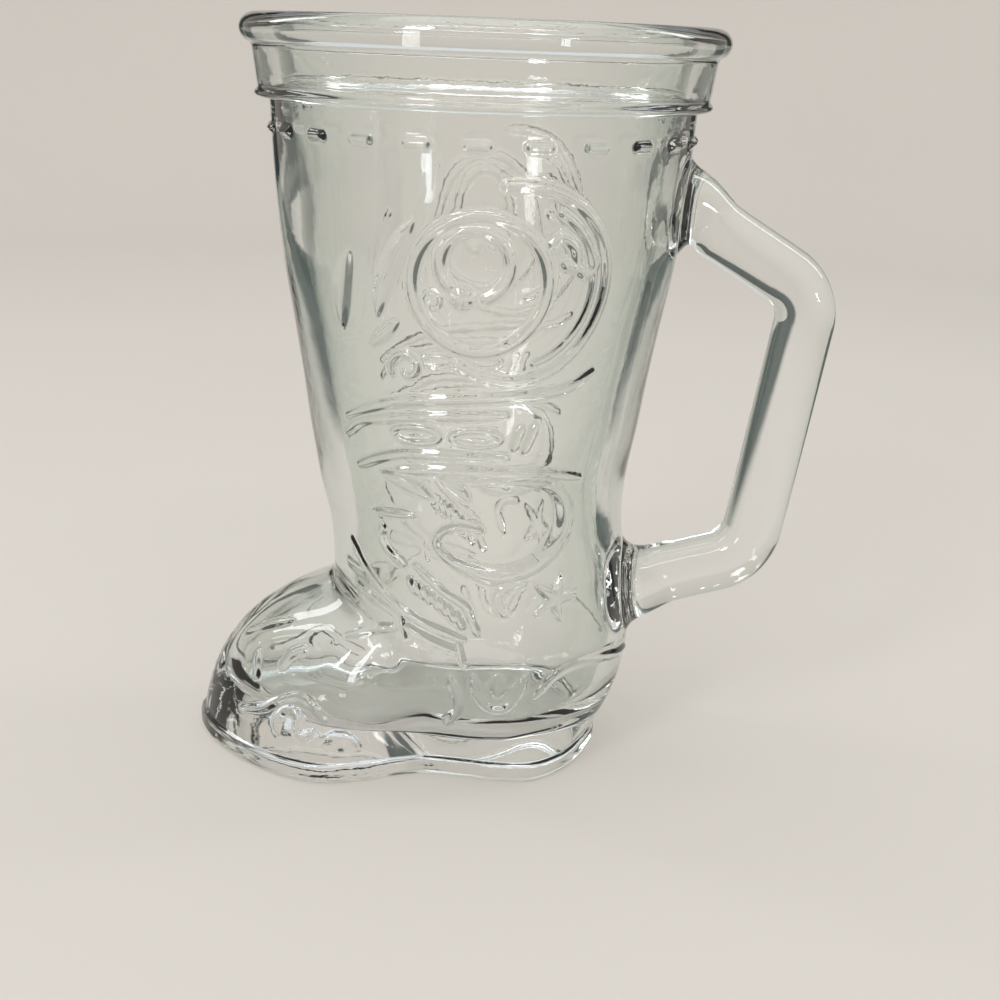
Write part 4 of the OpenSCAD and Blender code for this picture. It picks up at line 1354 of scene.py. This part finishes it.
    def close_openings(self, bm: bmesh.types.BMesh) -> None:
        """Close a piece: a ring between wall and bore, or a lid over a single opening.

        Args:
            bm: The piece, open where its neighbours were.
        """
        rings: dict[int, list[list[bmesh.types.BMEdge]]] = {}
        for loop in boundary_loops(bm):
            corners = [v.co for e in loop for v in e.verts]
            level = round(sum(co.z for co in corners) / len(corners) / self.ring_level)
            round_axis = min(co.x for co in corners) < 0 < max(co.x for co in corners)
            rings.setdefault(level if round_axis else -len(rings) - 1, []).append(loop)
        for loops in rings.values():
            edges = [e for loop in loops for e in loop]
            if len(loops) == 2:
                made = bmesh.ops.bridge_loops(bm, edges=edges)["faces"]
            else:
                geom = bmesh.ops.triangle_fill(bm, use_beauty=True, edges=edges)["geom"]
                made = [g for g in geom if isinstance(g, bmesh.types.BMFace)]
            for face in made:
                face.material_index = 1
                face.smooth = False
        bmesh.ops.recalc_face_normals(bm, faces=bm.faces[:])


def boundary_loops(bm: bmesh.types.BMesh) -> list[list[bmesh.types.BMEdge]]:
    """Group the open edges of a mesh into loops.

    Args:
        bm: The mesh.

    Returns:
        One list of edges for each loop.
    """
    left = {e for e in bm.edges if len(e.link_faces) == 1}
    loops = []
    for start in [e for e in bm.edges if e in left]:
        if start not in left:
            continue
        left.discard(start)
        loop, queue = [start], [start]
        while queue:
            for other in [e for vert in queue.pop().verts for e in vert.link_edges]:
                if other in left:
                    left.discard(other)
                    loop.append(other)
                    queue.append(other)
        loops.append(loop)
    return loops


def feed(tree: bpy.types.NodeTree, node: bpy.types.Node, inputs: dict[int | str, Any]) -> None:
    """Set a node's inputs, or link them where a socket is given.

    Args:
        tree: Node tree of the node.
        node: The node.
        inputs: Value or socket for each input, by its name or number.
    """
    for key, value in inputs.items():
        if isinstance(value, bpy.types.NodeSocket):
            tree.links.new(value, node.inputs[key])
        else:
            node.inputs[key].default_value = value


def add_node(tree: bpy.types.NodeTree, kind: str, inputs: dict[int | str, Any] | None = None,
             **settings: Any) -> bpy.types.bpy_prop_collection:
    """Add a node, set it up and feed it.

    Args:
        tree: Node tree to add to.
        kind: Node type.
        inputs: Value or socket for each input, by its name or number.
        **settings: Plain properties of the node.

    Returns:
        The outputs of the new node.
    """
    node = tree.nodes.new(kind)
    for key, value in settings.items():
        setattr(node, key, value)
    feed(tree, node, inputs or {})
    return node.outputs


def add_math(tree: bpy.types.NodeTree, operation: str, *values: Any, clamp: bool = False
             ) -> bpy.types.NodeSocket:
    """Return the result of a new Math node that is fed with values or sockets."""
    inputs = dict(enumerate(values))
    return add_node(tree, "ShaderNodeMath", inputs, operation=operation, use_clamp=clamp)["Value"]


def add_mix(tree: bpy.types.NodeTree, share: bpy.types.NodeSocket, a: Any, b: Any
            ) -> bpy.types.NodeSocket:
    """Return the result of a new node that mixes two colours."""
    inputs = {"Factor": share, "A": a, "B": b}
    return add_node(tree, "ShaderNodeMix", inputs, data_type="RGBA")["Result"]


def new_material(name: str) -> tuple[bpy.types.Material, bpy.types.NodeTree, bpy.types.Node]:
    """Return a new material with its node tree and its shader."""
    material = bpy.data.materials.new(name)
    material.use_nodes = True
    return material, material.node_tree, material.node_tree.nodes["Principled BSDF"]


def pressed_surface_group(grain_share: float = 0.12) -> bpy.types.NodeTree:
    """Make the shared effect of pressed glass: soft ripples, faint haze and seed marks.

    Args:
        grain_share: Height of the grain as a share of the ripples' height.

    Returns:
        The node group, with a height and a haze mask.
    """
    group = bpy.data.node_groups.new("pressed_surface", "ShaderNodeTree")
    for name, way in (("Ripple Scale", "INPUT"), ("Grain Scale", "INPUT"),
                      ("Height", "OUTPUT"), ("Haze", "OUTPUT")):
        group.interface.new_socket(name, in_out=way, socket_type="NodeSocketFloat")
    given = add_node(group, "NodeGroupInput")
    place = add_node(group, "ShaderNodeTexCoord")["Object"]
    ripple = add_node(group, "ShaderNodeTexNoise", {
        "Vector": place, "Scale": given["Ripple Scale"], "Detail": 1.0, "Roughness": 0.4,
    })["Fac"]
    grain = add_node(group, "ShaderNodeTexNoise", {
        "Vector": place, "Scale": given["Grain Scale"], "Detail": 2.0,
    })["Fac"]
    height = add_math(group, "MULTIPLY_ADD", grain, grain_share, ripple)
    add_node(group, "NodeGroupOutput", {"Height": height, "Haze": grain})
    return group


@dataclass(frozen=True)
class GlassFinish:
    """Clear pressed glass, greener where it is seen edge on, and darker there with painted shade
    that stands in for its dark edges.
    """

    name: str = "clear_pressed_glass"
    clear: Tone = (0.975, 0.985, 0.978)
    # Edge-on tone: the glass's own green, darkened as painted shade for the dark edges of the
    # glass.
    edge: Tone = (0.46, 0.57, 0.5)
    edge_tint_shade_blend: float = 0.35
    ior: float = 1.5
    ripple_scale: float = 55.0
    grain_scale: float = 420.0
    ripple_height: float = 0.00011
    smooth: float = 0.0
    hazy: float = 0.035
    haze_span: tuple[float, float] = (0.35, 0.75)

    def build(self, surface: bpy.types.NodeTree) -> bpy.types.Material:
        """Make the material.

        Args:
            surface: Shared group of pressed glass.

        Returns:
            The material.
        """
        material, tree, shader = new_material(self.name)
        effect = add_node(tree, "ShaderNodeGroup", {
            "Ripple Scale": self.ripple_scale, "Grain Scale": self.grain_scale,
        }, node_tree=surface)
        bump = add_node(tree, "ShaderNodeBump", {
            "Height": effect["Height"], "Distance": self.ripple_height, "Strength": 1.0,
        })
        haze = add_node(tree, "ShaderNodeMapRange", {
            "Value": effect["Haze"], "From Min": self.haze_span[0],
            "From Max": self.haze_span[1], "To Min": self.smooth, "To Max": self.hazy,
        })
        # Base Color turns to the edge tone where the surface is seen edge on: the glass's green
        # tint, plus painted shade for its dark edges.
        edge_tint_and_shade = add_node(tree, "ShaderNodeLayerWeight", {"Blend": self.edge_tint_shade_blend})["Facing"]
        feed(tree, shader, {
            "Transmission Weight": 1.0,
            "IOR": self.ior,
            "Roughness": haze["Result"],
            "Normal": bump["Normal"],
            "Base Color": add_mix(tree, edge_tint_and_shade, (*self.clear, 1.0), (*self.edge, 1.0)),
        })
        return material


@dataclass(frozen=True)
class JointFinish:
    """Faces inside the casting, where the real glass runs on without a surface."""

    name: str = "inside_joint"

    def build(self) -> bpy.types.Material:
        """Return a material that lets everything through."""
        material, tree, shader = new_material(self.name)
        feed(tree, shader, {"Alpha": 0.0, "Transmission Weight": 1.0})
        return material


@dataclass(frozen=True)
class Lamp:
    """Soft rectangular lamp that faces the glass, with its place, size, power and tone."""

    name: str
    at: Place
    size: tuple[float, float]
    power: float
    tone: Tone = (1.0, 1.0, 1.0)

    def build(self, target: Place) -> None:
        """Add the lamp to the scene.

        Args:
            target: Place that it faces.
        """
        data = bpy.data.lights.new(self.name, "AREA")
        data.shape = "RECTANGLE"
        data.size, data.size_y = self.size
        data.energy, data.color = self.power, self.tone
        obj = add_object(self.name, data)
        obj.location = self.at
        obj.rotation_euler = (Vector(target) - Vector(self.at)).to_track_quat("-Z", "Y").to_euler()
        obj.visible_camera = False


@dataclass
class Studio:
    """Pale floor that curves up into a round backdrop, soft lamps, even fill and the camera."""

    floor_tone: Tone = (0.62, 0.58, 0.53)
    floor_spread: float = 0.03
    mottle_scale: float = 3.0
    floor_drop: float = 0.00005
    wing_tone: Tone = (0.09, 0.107, 0.1)
    wing_slope: float = 0.3
    wing_gap: float = 0.1
    wing_width: float = 0.26
    wing_fade: float = 0.05
    floor_glow: float = 0.55
    floor_r: float = 0.3
    bowl_r: float = 1.15
    bowl_round: float = 0.35
    bowl_h: float = 0.75
    bowl_steps: int = 96
    target: Place = (0.0, 0.0, 0.07)
    camera_at: Place = (0.00609, -0.3067, 0.1466)
    pitch: float = 16.97
    roll: float = 2.19
    focal_px: float = 1510.0
    image_px: float = 1000.0
    sensor: float = 36.0
    world_tone: Tone = (0.93, 0.96, 0.98)
    world_strength: float = 0.85
    lamps: tuple[Lamp, ...] = (
        Lamp("overhead_box", (0.05, 0.1, 1.05), (0.9, 0.9), 3.4),
        Lamp("front_strip", (0.0, -0.55, 0.85), (0.9, 0.05), 1.5),
        Lamp("window_box", (-0.45, -0.75, 0.62), (0.2, 0.3), 3.2, (0.94, 0.97, 1.0)),
        Lamp("low_window", (-0.57, -0.82, 0.13), (0.14, 0.18), 0.6),
        Lamp("small_window", (0.64, -0.77, 0.13), (0.07, 0.07), 0.3, (0.85, 0.93, 1.0)),
        Lamp("left_strip", (-0.68, 0.3, 0.62), (0.12, 0.5), 1.2),
        Lamp("right_strip", (0.68, 0.22, 0.62), (0.12, 0.5), 1.1),
    )

    def build(self) -> None:
        """Add the backdrop, the lamps and the fill."""
        self.add_backdrop()
        for lamp in self.lamps:
            lamp.build(self.target)
        world = bpy.data.worlds.new("studio_fill")
        bpy.context.scene.world = world
        world.use_nodes = True
        tree = world.node_tree
        fill = {"Color": (*self.world_tone, 1.0), "Strength": self.world_strength}
        feed(tree, tree.nodes["Background"], fill)

    def add_backdrop(self) -> None:
        """Spin the floor and its bowl wall from one profile."""
        flat = self.bowl_r - self.bowl_round
        points = [(0.0, 0.0), (self.floor_r, 0.0), (flat, 0.0)]
        for sin, cos in turned(6, 90, 15):
            points.append((flat + self.bowl_round * sin, self.bowl_round * (1 - cos)))
        points.append((self.bowl_r, self.bowl_h))
        bm = bmesh.new()
        draw_profile(bm, [(x, 0, z - self.floor_drop) for x, z in points])
        spin(bm, self.bowl_steps, 1e-6)
        bmesh.ops.recalc_face_normals(bm, faces=bm.faces[:])
        bmesh.ops.reverse_faces(bm, faces=bm.faces[:])
        for face in bm.faces:
            face.smooth = True
        mesh = bpy.data.meshes.new("studio_floor")
        bm.to_mesh(mesh)
        bm.free()
        mesh.materials.append(self.floor_material())
        add_object("studio_floor", mesh)

    def floor_material(self) -> bpy.types.Material:
        """Make the pale finish of the floor and the backdrop, which glass sees glowing.

        Returns:
            The material.
        """
        material, tree, shader = new_material("studio_paper")
        place = add_node(tree, "ShaderNodeTexCoord")["Object"]
        rays = add_node(tree, "ShaderNodeLightPath")
        seen = rays["Is Camera Ray"]
        noise = add_node(tree, "ShaderNodeTexNoise", {
            "Vector": place, "Scale": self.mottle_scale, "Detail": 2.0,
        })
        tones = [
            (*(c * share for c in self.floor_tone), 1.0)
            for share in (1 - self.floor_spread, 1 + self.floor_spread)
        ]
        paper = add_mix(tree, noise["Fac"], *tones)
        wings = add_math(tree, "SUBTRACT", self.wing_mask(tree, place), seen, clamp=True)
        tone = add_mix(tree, wings, paper, (*self.wing_tone, 1.0))
        for kind in ("Is Glossy Ray", "Is Transmission Ray"):
            seen = add_math(tree, "MAXIMUM", seen, rays[kind])
        share = add_math(tree, "MULTIPLY", seen, self.floor_glow)
        feed(tree, shader, {"Base Color": tone, "Roughness": 0.75, "Specular IOR Level": 0.2})
        glow = add_node(tree, "ShaderNodeEmission", {"Color": tone})["Emission"]
        blend = add_node(tree, "ShaderNodeMixShader", {
            "Fac": share, 1: shader.outputs["BSDF"], 2: glow,
        })
        feed(tree, tree.nodes["Material Output"], {"Surface": blend["Shader"]})
        return material

    def wing_mask(self, tree: bpy.types.NodeTree, place: bpy.types.NodeSocket
                  ) -> bpy.types.NodeSocket:
        """Mask the two dark wings of the backdrop, which give the glass its dark edges.

        Args:
            tree: Node tree of the backdrop's material.
            place: Socket with the place on the backdrop.

        Returns:
            The socket with the mask, 1 on a wing, which fades out at its sides and in front.
        """
        axes = add_node(tree, "ShaderNodeSeparateXYZ", {"Vector": place})
        side = add_math(tree, "ABSOLUTE", axes["X"])
        out = add_math(tree, "MULTIPLY_ADD", axes["Y"], -self.wing_slope, side)
        far = self.wing_gap + self.wing_width
        inner, outer, front = (
            add_node(tree, "ShaderNodeMapRange", {
                "Value": value, "From Min": start, "From Max": stop,
            }, interpolation_type="SMOOTHSTEP")["Result"]
            for value, start, stop in (
                (out, self.wing_gap, self.wing_gap + self.wing_fade),
                (out, far, far - self.wing_fade),
                (axes["Y"], 0.0, self.wing_gap),
            )
        )
        return add_math(tree, "MULTIPLY", add_math(tree, "MULTIPLY", inner, outer), front)

    def add_camera(self) -> None:
        """Set the camera that was solved from the photograph."""
        data = bpy.data.cameras.new("photo_camera")
        data.sensor_width = self.sensor
        data.lens = self.sensor * self.focal_px / self.image_px
        data.clip_start, data.clip_end = 0.01, 20.0
        camera = add_object("photo_camera", data)
        pitch = Matrix.Rotation(math.radians(90 - self.pitch), 4, "X")
        roll = Matrix.Rotation(math.radians(self.roll), 4, "Z")
        camera.matrix_world = Matrix.Translation(self.camera_at) @ pitch @ roll
        bpy.context.scene.camera = camera


def main() -> None:
    """Build the glass, its stage and its camera."""
    logging.basicConfig(level=logging.INFO, format="%(message)s")
    studio = Studio()
    studio.add_camera()
    form = BootForm.from_frame()
    ornament = Ornament(form)
    ornament.build()
    parts = (kind(form) for kind in (SolePart, FootPart, ShaftPart, RimPart, HandlePart))
    casting = GlassCasting(form, ornament, *parts)
    skin = casting.build()
    finishes = (GlassFinish().build(pressed_surface_group()), JointFinish().build())
    for part in casting.parts:
        piece = casting.cut_piece(skin, part, finishes)
        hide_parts(*part.nodes)
        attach(piece, "root")
        LOG.info("%s: %d faces", part.name, len(piece.data.polygons))
    skin.free()
    studio.build()
    bpy.context.scene.view_settings.view_transform = "Standard"


if __name__ == "__main__":
    main()
